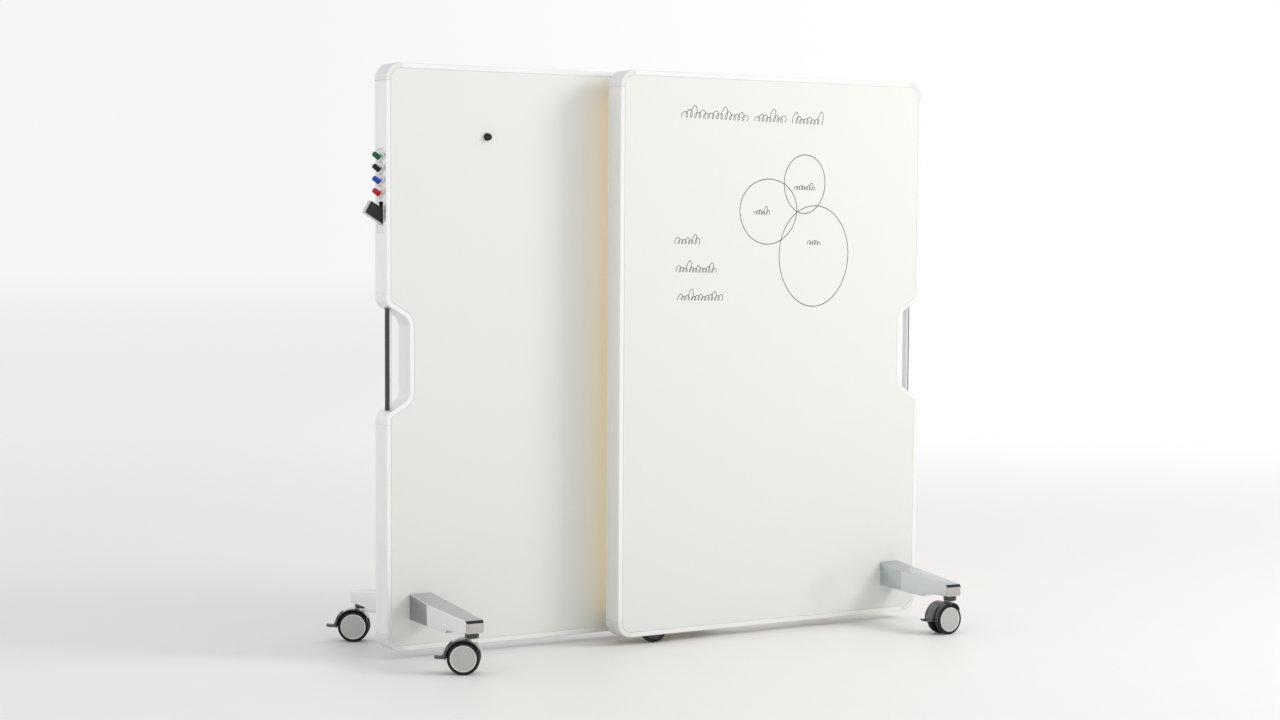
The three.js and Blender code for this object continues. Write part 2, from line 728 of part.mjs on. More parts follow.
function guideRail(name, z) {
  const outer = RAIL_HALF_HEIGHT;
  const inner = RAIL_HALF_HEIGHT - RAIL_WALL;
  const lipStart = RAIL_DEPTH - RAIL_WALL;
  const section = polygon([
    [0, -outer],
    [RAIL_DEPTH, -outer],
    [RAIL_DEPTH, -RAIL_SLOT_HALF],
    [lipStart, -RAIL_SLOT_HALF],
    [lipStart, -inner],
    [RAIL_WALL, -inner],
    [RAIL_WALL, inner],
    [lipStart, inner],
    [lipStart, RAIL_SLOT_HALF],
    [RAIL_DEPTH, RAIL_SLOT_HALF],
    [RAIL_DEPTH, outer],
    [0, outer],
  ]);
  const mesh = namedMesh(name, barSolid(section, 0, RAIL_LENGTH), FINISHES.guide);
  mesh.position.set(FRONT_X - HALF_WIDTH + RAIL_START, FRONT_Y + HALF_DEPTH + GAP, z);
  return mesh;
}

function guideShoe(name, z) {
  const base = PANEL_PITCH - PANEL_DEPTH - 2 * GAP;
  const headFrom = RAIL_WALL + 1;
  const headTo = RAIL_DEPTH - RAIL_WALL - 1;
  const headHalf = RAIL_HALF_HEIGHT - RAIL_WALL - 2;
  const neckHalf = RAIL_SLOT_HALF - 2;
  const section = polygon([
    [headFrom, -headHalf],
    [headTo, -headHalf],
    [headTo, -neckHalf],
    [base - 20, -neckHalf],
    [base - 20, -RAIL_HALF_HEIGHT],
    [base, -RAIL_HALF_HEIGHT],
    [base, RAIL_HALF_HEIGHT],
    [base - 20, RAIL_HALF_HEIGHT],
    [base - 20, neckHalf],
    [headTo, neckHalf],
    [headTo, headHalf],
    [headFrom, headHalf],
  ]);
  const half = SHOE_LENGTH / 2;
  const mesh = namedMesh(name, barSolid(section, -half, half), FINISHES.shoe);
  const x = REAR_X + HALF_WIDTH - SHOE_INSET;
  mesh.position.set(x, FRONT_Y + HALF_DEPTH + GAP, z);
  return mesh;
}

// ---------------------------------------------------------------- assembly
// A panel in its own frame, with the outer side towards -X.
function panel(prefix, hasDock, glass, legNames) {
  const group = new THREE.Group();
  group.add(...framePieces(prefix, hasDock));
  group.add(glassPane(`${prefix}_${glass.minusY.name}`, -1, glass.minusY.material));
  group.add(glassPane(`${prefix}_${glass.plusY.name}`, 1, glass.plusY.material));
  group.add(coreBoard(prefix, hasDock));
  group.add(...handlePieces(prefix));
  group.add(...legPieces(prefix, legNames));
  group.add(supportWheel(`${prefix}_support_wheel`));
  return group;
}

const whiteboard = new THREE.Group();

const rearPanel = panel(
  'rear',
  true,
  {
    minusY: { name: 'glass_front', material: FINISHES.glass },
    plusY: { name: 'glass_back', material: FINISHES.glass },
  },
  ['leg_front', 'leg_back'],
);
rearPanel.add(markerDock(), ...markers(), ...eraserPieces(), roundMagnet());
rearPanel.position.set(REAR_X, REAR_Y, 0);

// The front panel is the same panel turned half way round, so its own -Y side is its back.
const frontPanel = panel(
  'front',
  false,
  {
    minusY: { name: 'glass_back', material: FINISHES.amberGlass },
    plusY: { name: 'glass_front', material: FINISHES.glass },
  },
  ['leg_back', 'leg_front'],
);
frontPanel.position.set(FRONT_X, FRONT_Y, 0);
frontPanel.rotation.z = Math.PI;

whiteboard.add(rearPanel, frontPanel);

for (const [level, z] of Object.entries(GUIDE_LEVELS)) {
  whiteboard.add(guideRail(`guide_rail_${level}`, z), guideShoe(`guide_shoe_${level}`, z));
}

const leftStem = REAR_X + OUTER_SIDE + LEG_INSET;
const rightStem = FRONT_X - OUTER_SIDE - LEG_INSET;
whiteboard.add(
  caster('left_front', leftStem, REAR_Y - STEM_REACH, SWIVEL_LEFT),
  caster('left_back', leftStem, REAR_Y + STEM_REACH, SWIVEL_LEFT),
  caster('right_front', rightStem, FRONT_Y - STEM_REACH, SWIVEL_RIGHT),
  caster('right_back', rightStem, FRONT_Y + STEM_REACH, SWIVEL_RIGHT),
);

export default whiteboard;
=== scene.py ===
"""Looks for an expandable rolling glass whiteboard.

Two glass panels in rounded aluminium frames slide past each other on outrigger legs and
casters. Every size is in metres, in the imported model's own frame: X along the panels,
-Y towards the people who write on them, +Z up from the floor.
"""
import json
import math

import bmesh
import bpy
from bpy.props import (
    FloatProperty,
    FloatVectorProperty,
    IntProperty,
    PointerProperty,
)
from mathutils import Matrix, Vector


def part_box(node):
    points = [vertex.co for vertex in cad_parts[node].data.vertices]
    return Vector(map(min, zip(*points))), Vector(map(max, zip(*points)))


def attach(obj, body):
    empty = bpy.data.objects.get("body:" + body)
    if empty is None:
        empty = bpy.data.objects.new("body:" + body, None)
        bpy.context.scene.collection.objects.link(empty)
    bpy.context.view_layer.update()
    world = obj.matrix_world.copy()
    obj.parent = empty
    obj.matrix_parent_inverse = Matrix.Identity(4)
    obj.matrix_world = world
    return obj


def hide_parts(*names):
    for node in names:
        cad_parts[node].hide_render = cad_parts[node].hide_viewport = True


bl_info = {
    "name": "Rolling Glass Whiteboard",
    "version": (1, 0, 0),
    "blender": (4, 5, 0),
    "location": "3D View > Sidebar > Whiteboard",
    "description": "Builds the visible pieces and finishes of a rolling glass whiteboard",
    "category": "Object",
}

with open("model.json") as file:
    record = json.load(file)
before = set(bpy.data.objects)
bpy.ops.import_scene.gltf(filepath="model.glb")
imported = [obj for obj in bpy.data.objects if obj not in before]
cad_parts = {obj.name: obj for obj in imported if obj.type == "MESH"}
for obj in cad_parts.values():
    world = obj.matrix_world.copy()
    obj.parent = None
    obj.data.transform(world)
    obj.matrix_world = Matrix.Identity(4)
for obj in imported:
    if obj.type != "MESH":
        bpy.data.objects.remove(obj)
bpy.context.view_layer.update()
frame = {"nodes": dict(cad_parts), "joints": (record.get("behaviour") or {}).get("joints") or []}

MM = 0.001
PREFIXES = ("rear", "front")
CASTERS = ("left_front", "left_back", "right_front", "right_back")
MARKERS = ("green", "black", "blue", "red")
JOINT_GAP = 0.3 * MM  # air between two pieces that touch
SOFT_END = 0.5 * MM  # how far a frame piece's cut end is eased
SMOOTH_ANGLE = 32  # degrees: sharper edges than this stay crisp


# ---------------------------------------------------------------- sizes and colours
def length(name, default, description):
    """A length property in metres."""
    return FloatProperty(
        name=name,
        description=description,
        default=default,
        min=0.0,
        precision=4,
        unit="LENGTH",
        subtype="DISTANCE",
    )


def angle(name, default_degrees, description):
    """An angle property, given in degrees and kept in radians."""
    return FloatProperty(
        name=name,
        description=description,
        default=math.radians(default_degrees),
        unit="ROTATION",
        subtype="ANGLE",
    )


def colour(name, default, description):
    """A linear colour property."""
    return FloatVectorProperty(
        name=name,
        description=description,
        default=default,
        min=0.0,
        max=1.0,
        size=3,
        subtype="COLOR",
    )


class FrameSizes(bpy.types.PropertyGroup):
    """Sizes of a panel, its frame and its handle notch."""

    width: length("Panel width", 1.22, "Width of one framed panel")
    height: length("Panel height", 1.8, "Height of one framed panel")
    depth: length("Panel depth", 0.075, "Thickness of one framed panel")
    clearance: length("Floor clearance", 0.028, "Height of the frame above the floor")
    corner_radius: length("Corner radius", 0.05, "Outer radius of a panel's corners")
    corner_length: length("Corner length", 0.054, "Reach of a corner casting along a side")
    lip: length("Lip", 0.016, "Width of the frame face around the glass")
    ledge: length("Ledge", 0.014, "Width of the ledge behind the glass")
    edge_round: length("Edge radius", 0.003, "Rounding of the frame's long edges")
    glass: length("Glass thickness", 0.004, "Thickness of each pane")
    notch_depth: length("Notch depth", 0.08, "Depth of the handle notch")
    notch_half: length("Notch half height", 0.1865, "Half the height of the notch's mouth")
    notch_outer: length("Notch mouth radius", 0.032, "Radius where the notch leaves the side")
    notch_inner: length("Notch inner radius", 0.0406, "Radius at the bottom of the notch")
    notch_slant: angle("Notch slant", 60, "Slant of the notch's ends")
    cove_half: length("Cove half height", 0.2, "Half the height of the notch casting")
    leg_inset: length("Leg inset", 0.1165, "From a panel's outer side to its legs")
    leg_level: length("Leg level", 0.164, "Height of the middle of a leg's spigot")
    hole_half_width: length("Hole half width", 0.025, "Half the width of a pane's leg hole")
    hole_half_height: length("Hole half height", 0.027, "Half the height of that hole")
    arc_steps: IntProperty(
        name="Arc steps",
        description="Straight steps in each quarter of an outline's arcs",
        default=14,
        min=4,
        max=48,
    )


class HandleSizes(bpy.types.PropertyGroup):
    """Sizes of the grab bar that spans the notch."""

    inset: length("Inset", 0.016, "From the panel's side to the grip's outside")
    width: length("Width", 0.022, "Width of the bar across the panel's thickness")
    depth: length("Depth", 0.018, "Depth of the bar and the grip together")
    grip: length("Grip depth", 0.0085, "Depth of the soft grip")
    edge_round: length("Edge radius", 0.004, "Rounding of the bar's inner edges")


class LegSizes(bpy.types.PropertyGroup):
    """Sizes of an outrigger leg."""

    reach: length("Reach", 0.382, "From the panel's centre plane to the leg's tip")
    root_half: length("Root half width", 0.038, "Half width where the leg meets the glass")
    kink_half: length("Kink half width", 0.042, "Half width where the leg starts to taper")
    tip_half: length("Tip half width", 0.0305, "Half width near the tip")
    edge_round: length("Edge radius", 0.0022, "Rounding of the leg's long edges")
    band: length("Band height", 0.0075, "Height of the dark bevel along the tip")
    tip_length: length("Tip length", 0.0105, "Length of the rounded tip")
    tip_low: length("Tip bottom", 0.1246, "Height of the underside near the tip")
    tip_high: length("Tip top", 0.1628, "Height of the upper face where the tip starts")
    kink: length("Kink", 0.156, "From the panel's centre plane to where the taper starts")
    stem: length("Stem", 0.358, "From the panel's centre plane to the caster's stem")
    spigot_half: length("Spigot half width", 0.023, "Half the width of the spigot")
    spigot_low: length("Spigot bottom", 0.139, "Height of the spigot's underside")
    spigot_high: length("Spigot top", 0.189, "Height of the spigot's top")


class CasterSizes(bpy.types.PropertyGroup):
    """Sizes of a twin-wheel caster."""

    radius: length("Wheel radius", 0.05, "Radius of a wheel")
    trail: length("Trail", 0.024, "From the stem's axis to the axle")
    tread_inner: length("Tread inner face", 0.0115, "From the middle to a wheel's inner face")
    tread_outer: length("Tread outer face", 0.0315, "From the middle to a wheel's outer face")
    disc: length("Hub disc radius", 0.0405, "Radius of the metal hub face")
    hood_inner: length("Hood inner radius", 0.0525, "Inside radius of the hood")
    hood_outer: length("Hood outer radius", 0.057, "Outside radius of the hood")
    hood_half: length("Hood half width", 0.033, "Half the width of the hood")
    nose_drop: length("Nose drop", 0.0030, "How much thinner the hood gets at its far end")
    nose_narrow: length("Nose narrowing", 0.008, "How much narrower its far end is, each side")
    collar: length("Collar radius", 0.0215, "Radius of the collar under the leg")
    collar_low: length("Collar bottom", 0.098, "Height of the collar's foot in the hood")
    collar_top: length("Collar top", 0.1243, "Height of the collar's top")
    stem: length("Stem radius", 0.0055, "Radius of the stem in the leg")
    stem_top: length("Stem top", 0.148, "Height of the stem's top")
    axle_bore: length("Axle bore", 0.0065, "Radius of the holes round an axle")
    web_outer: length("Web outer radius", 0.0529, "Outside radius of the hood's middle web")
    web_inner: length("Web foot radius", 0.038, "Radius of the web's lower part")
    pedal_inner: length("Pedal inner radius", 0.0576, "Inside radius of the pedal's arc")
    pedal_outer: length("Pedal outer radius", 0.062, "Outside radius of the pedal's arc")
    pedal_half: length("Pedal half width", 0.015, "Half the width of the pedal")
    support_half: length("Support half width", 0.012, "Half the width of a support wheel")
    support_stub: length("Support axle", 0.019, "Half the length of a support wheel's axle")
    sides: IntProperty(
        name="Wheel sides",
        description="Steps round a wheel",
        default=72,
        min=24,
        max=192,
    )


class DockSizes(bpy.types.PropertyGroup):
    """Sizes of the marker dock and what it holds."""

    marker_tilt: angle("Marker tilt", 35, "Rise of the markers towards the outside")
    marker_pitch: length("Marker pitch", 0.0367, "Distance between marker axes on the side")
    marker_top: length("Top marker height", 1.5375, "Height of the top marker at the side")
    marker_radius: length("Marker radius", 0.0084, "Radius of a marker's cap")
    marker_length: length("Marker length", 0.12, "Length of a capped marker")
    marker_out: length("Marker stand-out", 0.029, "How far a marker stands out")
    marker_plug: length("Marker plug", 0.0245, "Length of a marker's coloured end")
    eraser_tilt: angle("Eraser tilt", 31, "Rise of the eraser towards the outside")
    eraser_height: length("Eraser height", 1.3648, "Height of the eraser's line at the side")
    eraser_out: length("Eraser stand-out", 0.056, "How far the eraser stands out")
    eraser_length: length("Eraser length", 0.104, "Length of the eraser")
    eraser_width: length("Eraser width", 0.044, "Width of the eraser")
    eraser_side: length("Eraser side", 0.0077, "From the eraser's line to the shell's open side")
    eraser_back: length("Eraser back", 0.01, "From the eraser's line to the shell's back")
    slot_front: length("Slot front", 0.015, "From the eraser's line to the slot's front wall")
    slot_back: length("Slot back", 0.011, "From the eraser's line to the slot's back wall")
    slot_air: length("Slot air", 0.0006, "Air above and below the eraser in its slot")
    felt_front: length("Felt front", 0.014, "From the eraser's line to the felt's face")
    felt_back: length("Felt back", 0.008, "From the eraser's line to the felt's back")
    scoop_radius: length("Scoop radius", 0.013, "Radius of a finger scoop")
    scoop_depth: length("Scoop depth", 0.002, "Depth of a finger scoop along a marker")
    pocket_top: length("Pocket top", 1.408, "Top of the recess above the eraser")
    pocket_depth: length("Pocket depth", 0.008, "Depth of the recess above the eraser")


class FinishColours(bpy.types.PropertyGroup):
    """Colours of the finishes, linear."""

    glass: colour("Glass", (0.755, 0.764, 0.736), "Back-painted writing glass")
    glass_low: colour("Glass, low", (0.715, 0.745, 0.71), "Glass near its lower edge")
    amber: colour("Amber glass", (0.68, 0.47, 0.19), "Back-painted glass between the panels")
    rail: colour("Rail", (0.88, 0.88, 0.88), "Anodised frame rails")
    corner: colour("Corner", (0.79, 0.797, 0.802), "Cast corners")
    leg: colour("Leg, rear panel", (0.86, 0.865, 0.90), "Cast legs of the rear panel")
    # painted shade: the legs' upper faces are coloured darker than their sides
    leg_top: colour("Leg, top", (0.565, 0.575, 0.585), "Upper faces of the legs")
    # painted shade: the legs' sides at the glass are coloured dark
    leg_root: colour("Leg, root", (0.39, 0.392, 0.40), "Their sides at the glass")
    # painted shade: the front panel's legs are coloured darker than the rear panel's identical legs
    front_leg: colour("Leg, front panel", (0.74, 0.755, 0.765), "Cast legs of the front panel")
    # painted shade: the same sides on the front panel, in a lighter value
    front_leg_root: colour("Leg root, front panel", (0.61, 0.64, 0.64), "Their sides there")
    grip: colour("Grip", (0.055, 0.045, 0.055), "Soft grip")
    hood: colour("Hood", (0.012, 0.011, 0.013), "Caster hoods")
    disc: colour("Hub disc", (0.49, 0.48, 0.465), "Wheel hub faces")
    pedal: colour("Pedal", (0.10, 0.096, 0.115), "Brake pedals")
    dock: colour("Dock", (0.86, 0.86, 0.875), "Marker dock")
    green: colour("Green", (0.006, 0.12, 0.055), "Green marker")
    black: colour("Black", (0.012, 0.012, 0.014), "Black marker")
    blue: colour("Blue", (0.012, 0.085, 0.42), "Blue marker")
    red: colour("Red", (0.50, 0.018, 0.028), "Red marker")
    felt: colour("Felt", (0.026, 0.024, 0.027), "Eraser felt")
    ink: colour("Ink", (0.045, 0.042, 0.045), "Dry ink on the glass")


class StageSettings(bpy.types.PropertyGroup):
    """Camera, floor and lights."""

    lens: FloatProperty(
        name="Focal length",
        description="Lens of the camera",
        default=71.41,
        min=10.0,
        unit="CAMERA",
    )
    azimuth: angle("Azimuth", -33.54, "Direction the camera looks in, from +Y")
    pitch: angle("Pitch", -4.63, "How far the camera looks up")
    roll: angle("Roll", 0.35, "Roll of the camera")
    shift: FloatProperty(
        name="Shift",
        description="Vertical shift of the lens",
        default=0.058,
    )
    position: FloatVectorProperty(
        name="Position",
        description="Where the camera stands",
        default=(-4.569, -6.844, 1.331),
        size=3,
        unit="LENGTH",
        subtype="TRANSLATION",
    )
    floor: colour("Floor", (0.85, 0.833, 0.822), "Pale studio floor")
    backdrop: colour("Backdrop", (1.0, 1.0, 1.0), "Light all round the studio")
    fill: FloatProperty(
        name="Fill",
        description="Strength of the light from overhead",
        default=0.80,
        min=0.0,
    )
    dim_near: FloatProperty(
        name="Dim, near",
        description="Brightness of the backdrop's left side near the floor",
        default=0.83,
        min=0.0,
    )
    dim_far: FloatProperty(
        name="Dim, far",
        description="Brightness of the backdrop's left side higher up",
        default=0.92,
        min=0.0,
    )
    key: FloatProperty(
        name="Key",
        description="Power of the large soft light",
        default=200.0,
        min=0.0,
        unit="POWER",
    )


SETTINGS = {
    "board_frame": FrameSizes,
    "board_handle": HandleSizes,
    "board_leg": LegSizes,
    "board_caster": CasterSizes,
    "board_dock": DockSizes,
    "board_finish": FinishColours,
    "board_stage": StageSettings,
}


# ---------------------------------------------------------------- shader groups
def add_socket(group, name, direction, kind, default=None):
    """Adds one socket to a node group's interface."""
    socket = group.interface.new_socket(name=name, in_out=direction, socket_type=kind)
    if default is not None:
        socket.default_value = default


def new_group(name, inputs, outputs):
    """A shader node group with its input and output nodes."""
    group = bpy.data.node_groups.new(name, "ShaderNodeTree")
    for socket_name, kind, default in inputs:
        add_socket(group, socket_name, "INPUT", kind, default)
    for socket_name, kind in outputs:
        add_socket(group, socket_name, "OUTPUT", kind)
    start = group.nodes.new("NodeGroupInput")
    end = group.nodes.new("NodeGroupOutput")
    return group, start, end


def math_node(tree, operation, *values):
    """A math node whose inputs are numbers or sockets."""
    node = tree.nodes.new("ShaderNodeMath")
    node.operation = operation
    for index, value in enumerate(values):
        if isinstance(value, (int, float)):
            node.inputs[index].default_value = value
        else:
            tree.links.new(value, node.inputs[index])
    return node.outputs[0]


def map_range(tree, value, source, target, smooth=False):
    """Maps a socket from one range to another, clamped."""
    node = tree.nodes.new("ShaderNodeMapRange")
    if smooth:
        node.interpolation_type = "SMOOTHSTEP"
    tree.links.new(value, node.inputs["Value"])
    for name, number in zip(("From Min", "From Max", "To Min", "To Max"), (*source, *target)):
        node.inputs[name].default_value = number
    return node.outputs["Result"]


def grain_group():
    """Fine surface grain: a height for bump and a slow tint mask."""
    name = "fine_grain"
    if name in bpy.data.node_groups:
        return bpy.data.node_groups[name]
    group, start, end = new_group(
        name,
        [
            ("Vector", "NodeSocketVector", None),
            ("Scale", "NodeSocketFloat", 900.0),
            ("Stretch", "NodeSocketVector", (1.0, 1.0, 1.0)),
        ],
        [("Height", "NodeSocketFloat"), ("Tint", "NodeSocketFloat")],
    )
    stretch = group.nodes.new("ShaderNodeVectorMath")
    stretch.operation = "MULTIPLY"
    group.links.new(start.outputs["Vector"], stretch.inputs[0])
    group.links.new(start.outputs["Stretch"], stretch.inputs[1])
    fine = group.nodes.new("ShaderNodeTexNoise")
    fine.inputs["Detail"].default_value = 3.0
    group.links.new(stretch.outputs[0], fine.inputs["Vector"])
    group.links.new(start.outputs["Scale"], fine.inputs["Scale"])
    group.links.new(fine.outputs["Fac"], end.inputs["Height"])
    slow = group.nodes.new("ShaderNodeTexNoise")
    slow.inputs["Detail"].default_value = 2.0
    group.links.new(stretch.outputs[0], slow.inputs["Vector"])
    slow_scale = math_node(group, "MULTIPLY", start.outputs["Scale"], 0.02)
    group.links.new(slow_scale, slow.inputs["Scale"])
    group.links.new(slow.outputs["Fac"], end.inputs["Tint"])
    return group


def smear_group():
    """Wipe marks and fingerprints: a roughness that wanders between two values."""
    name = "wipe_smears"
    if name in bpy.data.node_groups:
        return bpy.data.node_groups[name]
    group, start, end = new_group(
        name,
        [
            ("Vector", "NodeSocketVector", None),
            ("Scale", "NodeSocketFloat", 6.0),
            ("Low", "NodeSocketFloat", 0.1),
            ("High", "NodeSocketFloat", 0.2),
        ],
        [("Roughness", "NodeSocketFloat"), ("Mask", "NodeSocketFloat")],
    )
    broad = group.nodes.new("ShaderNodeTexNoise")
    broad.inputs["Detail"].default_value = 5.0
    broad.inputs["Distortion"].default_value = 1.4
    group.links.new(start.outputs["Vector"], broad.inputs["Vector"])
    group.links.new(start.outputs["Scale"], broad.inputs["Scale"])
    spread = group.nodes.new("ShaderNodeMapRange")
    spread.inputs["From Min"].default_value = 0.35
    spread.inputs["From Max"].default_value = 0.68
    group.links.new(broad.outputs["Fac"], spread.inputs["Value"])
    group.links.new(start.outputs["Low"], spread.inputs["To Min"])
    group.links.new(start.outputs["High"], spread.inputs["To Max"])
    group.links.new(spread.outputs["Result"], end.inputs["Roughness"])
    group.links.new(broad.outputs["Fac"], end.inputs["Mask"])
    return group


def level_group():
    """How high a point stands between two levels, from 0 to 1."""
    name = "level_fade"
    if name in bpy.data.node_groups:
        return bpy.data.node_groups[name]
    group, start, end = new_group(
        name,
        [
            ("Vector", "NodeSocketVector", None),
            ("Low", "NodeSocketFloat", 0.0),
            ("High", "NodeSocketFloat", 1.0),
        ],
        [("Level", "NodeSocketFloat")],
    )
    split = group.nodes.new("ShaderNodeSeparateXYZ")
    group.links.new(start.outputs["Vector"], split.inputs[0])
    fade = group.nodes.new("ShaderNodeMapRange")
    fade.interpolation_type = "SMOOTHSTEP"
    group.links.new(split.outputs["Z"], fade.inputs["Value"])
    group.links.new(start.outputs["Low"], fade.inputs["From Min"])
    group.links.new(start.outputs["High"], fade.inputs["From Max"])
    group.links.new(fade.outputs["Result"], end.inputs["Level"])
    return group


# ---------------------------------------------------------------- finishes
class Finish:
    """A node material under construction."""

    def __init__(self, name):
        self.material = bpy.data.materials.new(name)
        self.material.use_nodes = True
        self.tree = self.material.node_tree
        self.shader = self.tree.nodes["Principled BSDF"]
        self.place = self.tree.nodes.new("ShaderNodeTexCoord").outputs["Object"]

    def link(self, source, target):
        """Links a socket to one of the shader's inputs, by name or as a socket."""
        if isinstance(target, str):
            target = self.shader.inputs[target]
        self.tree.links.new(source, target)

    def group(self, group, **values):
        """Places a node group, fed with object coordinates and its own values."""
        node = self.tree.nodes.new("ShaderNodeGroup")
        node.node_tree = group
        self.tree.links.new(self.place, node.inputs["Vector"])
        for name, value in values.items():
            node.inputs[name].default_value = value
        return node

    def mix(self, factor, first, second):
        """A colour between two colours; each may be a colour or a socket."""
        node = self.tree.nodes.new("ShaderNodeMix")
        node.data_type = "RGBA"
        self.tree.links.new(factor, node.inputs["Factor"])
        for socket_name, value in (("A", first), ("B", second)):
            socket = [s for s in node.inputs if s.name == socket_name and s.type == "RGBA"][0]
            if isinstance(value, bpy.types.NodeSocket):
                self.tree.links.new(value, socket)
            else:
                socket.default_value = (*value, 1.0)
        return [s for s in node.outputs if s.type == "RGBA"][0]

    def bump(self, height, strength, distance):
        """Bumps the shader's normal."""
        node = self.tree.nodes.new("ShaderNodeBump")
        node.inputs["Strength"].default_value = strength
        node.inputs["Distance"].default_value = distance
        self.tree.links.new(height, node.inputs["Height"])
        self.link(node.outputs["Normal"], "Normal")

    def fixed(self, **values):
        """Sets constant sockets on the shader itself."""
        for name, value in values.items():
            self.shader.inputs[name.replace("_", " ")].default_value = value


def scaled(shade, factor):
    """A colour made lighter or darker."""
    return tuple(min(1.0, channel * factor) for channel in shade)


def surface_finish(
    name,
    shade,
    roughness,
    metallic=0.0,
    grain=900.0,
    depth=0.00002,
    stretch=(1.0, 1.0, 1.0),
    smear=9.0,
    variation=0.06,
    bump=0.25,
    **fixed,
):
    """A metal or plastic with fine grain, slow tint changes and handling marks."""
    if name in bpy.data.materials:
        return bpy.data.materials[name]
    finish = Finish(name)
    low, high = roughness
    fine = finish.group(grain_group(), Scale=grain, Stretch=stretch)
    marks = finish.group(smear_group(), Scale=smear, Low=low, High=high)
    tint = finish.mix(
        fine.outputs["Tint"], scaled(shade, 1 - variation), scaled(shade, 1 + variation)
    )
    finish.link(tint, "Base Color")
    finish.link(marks.outputs["Roughness"], "Roughness")
    finish.bump(fine.outputs["Height"], bump, depth)
    finish.fixed(Metallic=metallic, **fixed)
    return finish.material


def glass_finish(name, high_shade, low_shade, glow=0.0):
    """Back-painted glass: glossy, greener towards its lower edge, with faint wipe marks; given a
    glow, it also emits a warm painted glow.
    """
    if name in bpy.data.materials:
        return bpy.data.materials[name]
    finish = Finish(name)
    level = finish.group(level_group(), Low=0.05, High=1.45)
    paint = finish.mix(level.outputs["Level"], low_shade, high_shade)
    marks = finish.group(smear_group(), Scale=3.2, Low=0.035, High=0.075)
    cleaned = finish.mix(marks.outputs["Mask"], (0.985, 0.985, 0.98), (1.0, 1.0, 1.0))
    wiped = finish.tree.nodes.new("ShaderNodeMix")
    wiped.data_type = "RGBA"
    wiped.blend_type = "MULTIPLY"
    colours = [s for s in wiped.inputs if s.type == "RGBA"]
    wiped.inputs["Factor"].default_value = 1.0
    finish.tree.links.new(paint, colours[0])
    finish.tree.links.new(cleaned, colours[1])
    finish.link([s for s in wiped.outputs if s.type == "RGBA"][0], "Base Color")
    finish.link(marks.outputs["Roughness"], "Roughness")
    ripple = finish.group(grain_group(), Scale=7.0, Stretch=(1.0, 1.0, 0.6))
    finish.bump(ripple.outputs["Height"], 0.05, 0.0006)
    finish.fixed(IOR=1.52)
    # painted light: a warm emission that stands in for light bounced between the panels
    if glow:
        finish.fixed(Emission_Color=(1.0, 0.85, 0.60, 1.0), Emission_Strength=glow)
    return finish.material


def honeycomb_finish(name, shade):
    """Paper honeycomb: cells with darker walls."""
    if name in bpy.data.materials:
        return bpy.data.materials[name]
    finish = Finish(name)
    cells = finish.tree.nodes.new("ShaderNodeTexVoronoi")
    cells.feature = "DISTANCE_TO_EDGE"
    cells.inputs["Scale"].default_value = 70.0
    finish.tree.links.new(finish.place, cells.inputs["Vector"])
    walls = math_node(finish.tree, "LESS_THAN", cells.outputs["Distance"], 0.06)
    finish.link(finish.mix(walls, shade, scaled(shade, 0.55)), "Base Color")
    finish.bump(cells.outputs["Distance"], 0.5, 0.002)
    finish.fixed(Roughness=0.92)
    return finish.material


def felt_finish(name, shade):
    """Wool felt: fibres, sheen and a mottled colour."""
    if name in bpy.data.materials:
        return bpy.data.materials[name]
    finish = Finish(name)
    fibres = finish.group(grain_group(), Scale=1600.0, Stretch=(1.0, 1.0, 0.35))
    dust = finish.group(smear_group(), Scale=60.0, Low=0.82, High=0.98)
    mottled = finish.mix(fibres.outputs["Height"], scaled(shade, 0.55), scaled(shade, 1.9))
    finish.link(mottled, "Base Color")
    finish.link(dust.outputs["Roughness"], "Roughness")
    finish.bump(fibres.outputs["Height"], 0.7, 0.0005)
    finish.fixed(Sheen_Weight=0.12, Sheen_Roughness=0.5, Specular_IOR_Level=0.2)
    return finish.material


def rail_finish():
    """Anodised aluminium of the frame rails."""
    shade = bpy.context.scene.board_finish.rail
    return surface_finish(
        "rail_aluminium", shade, (0.28, 0.38), 0.55, grain=1500.0, depth=0.00001,
        stretch=(0.2, 1.0, 0.2), smear=4.0, variation=0.03,
    )


def corner_finish():
    """Cast aluminium of the corners."""
    shade = bpy.context.scene.board_finish.corner
    return surface_finish(
        "corner_casting", shade, (0.29, 0.33), 0.5, grain=420.0, depth=0.000004, smear=4.0,
        variation=0.015, bump=0.03,
    )


def leg_finish_shaded_per_panel(prefix):
    """Satin cast metal of the legs; the front panel's legs are painted darker as shade, though both
    panels have the same casting.
    """
    shades = bpy.context.scene.board_finish
    shade = shades.leg if prefix == "rear" else shades.front_leg
    return surface_finish(
        f"{prefix}_leg_casting", shade, (0.16, 0.26), 1.0, grain=800.0, depth=0.000008,
        variation=0.04, bump=0.08,
    )


def leg_top_painted_shade_finish():
    """Satin metal of a leg's upper face, painted darker than its sides as shade."""
    shade = bpy.context.scene.board_finish.leg_top
    return surface_finish(
        "leg_upper_face", shade, (0.18, 0.28), 1.0, grain=800.0, depth=0.000008, variation=0.04,
        bump=0.08,
    )


def leg_root_painted_shade_finish(prefix):
    """Satin metal of the short sides where a leg leaves the glass, painted dark as shade."""
    shades = bpy.context.scene.board_finish
    shade = shades.leg_root if prefix == "rear" else shades.front_leg_root
    return surface_finish(
        f"{prefix}_leg_root_side", shade, (0.20, 0.30), 1.0, grain=800.0, depth=0.000008,
        variation=0.05, bump=0.08,
    )


def band_finish():
    """Dark polished bevel at a leg's tip."""
    return surface_finish(
        "tip_band", (0.045, 0.047, 0.055), (0.10, 0.18), 1.0, grain=700.0, variation=0.1,
    )


def tip_finish():
    """Warm grey satin face at a leg's tip."""
    return surface_finish(
        "tip_face", (0.52, 0.50, 0.48), (0.22, 0.34), 1.0, grain=900.0,
        stretch=(1.0, 1.0, 0.1), variation=0.12,
    )


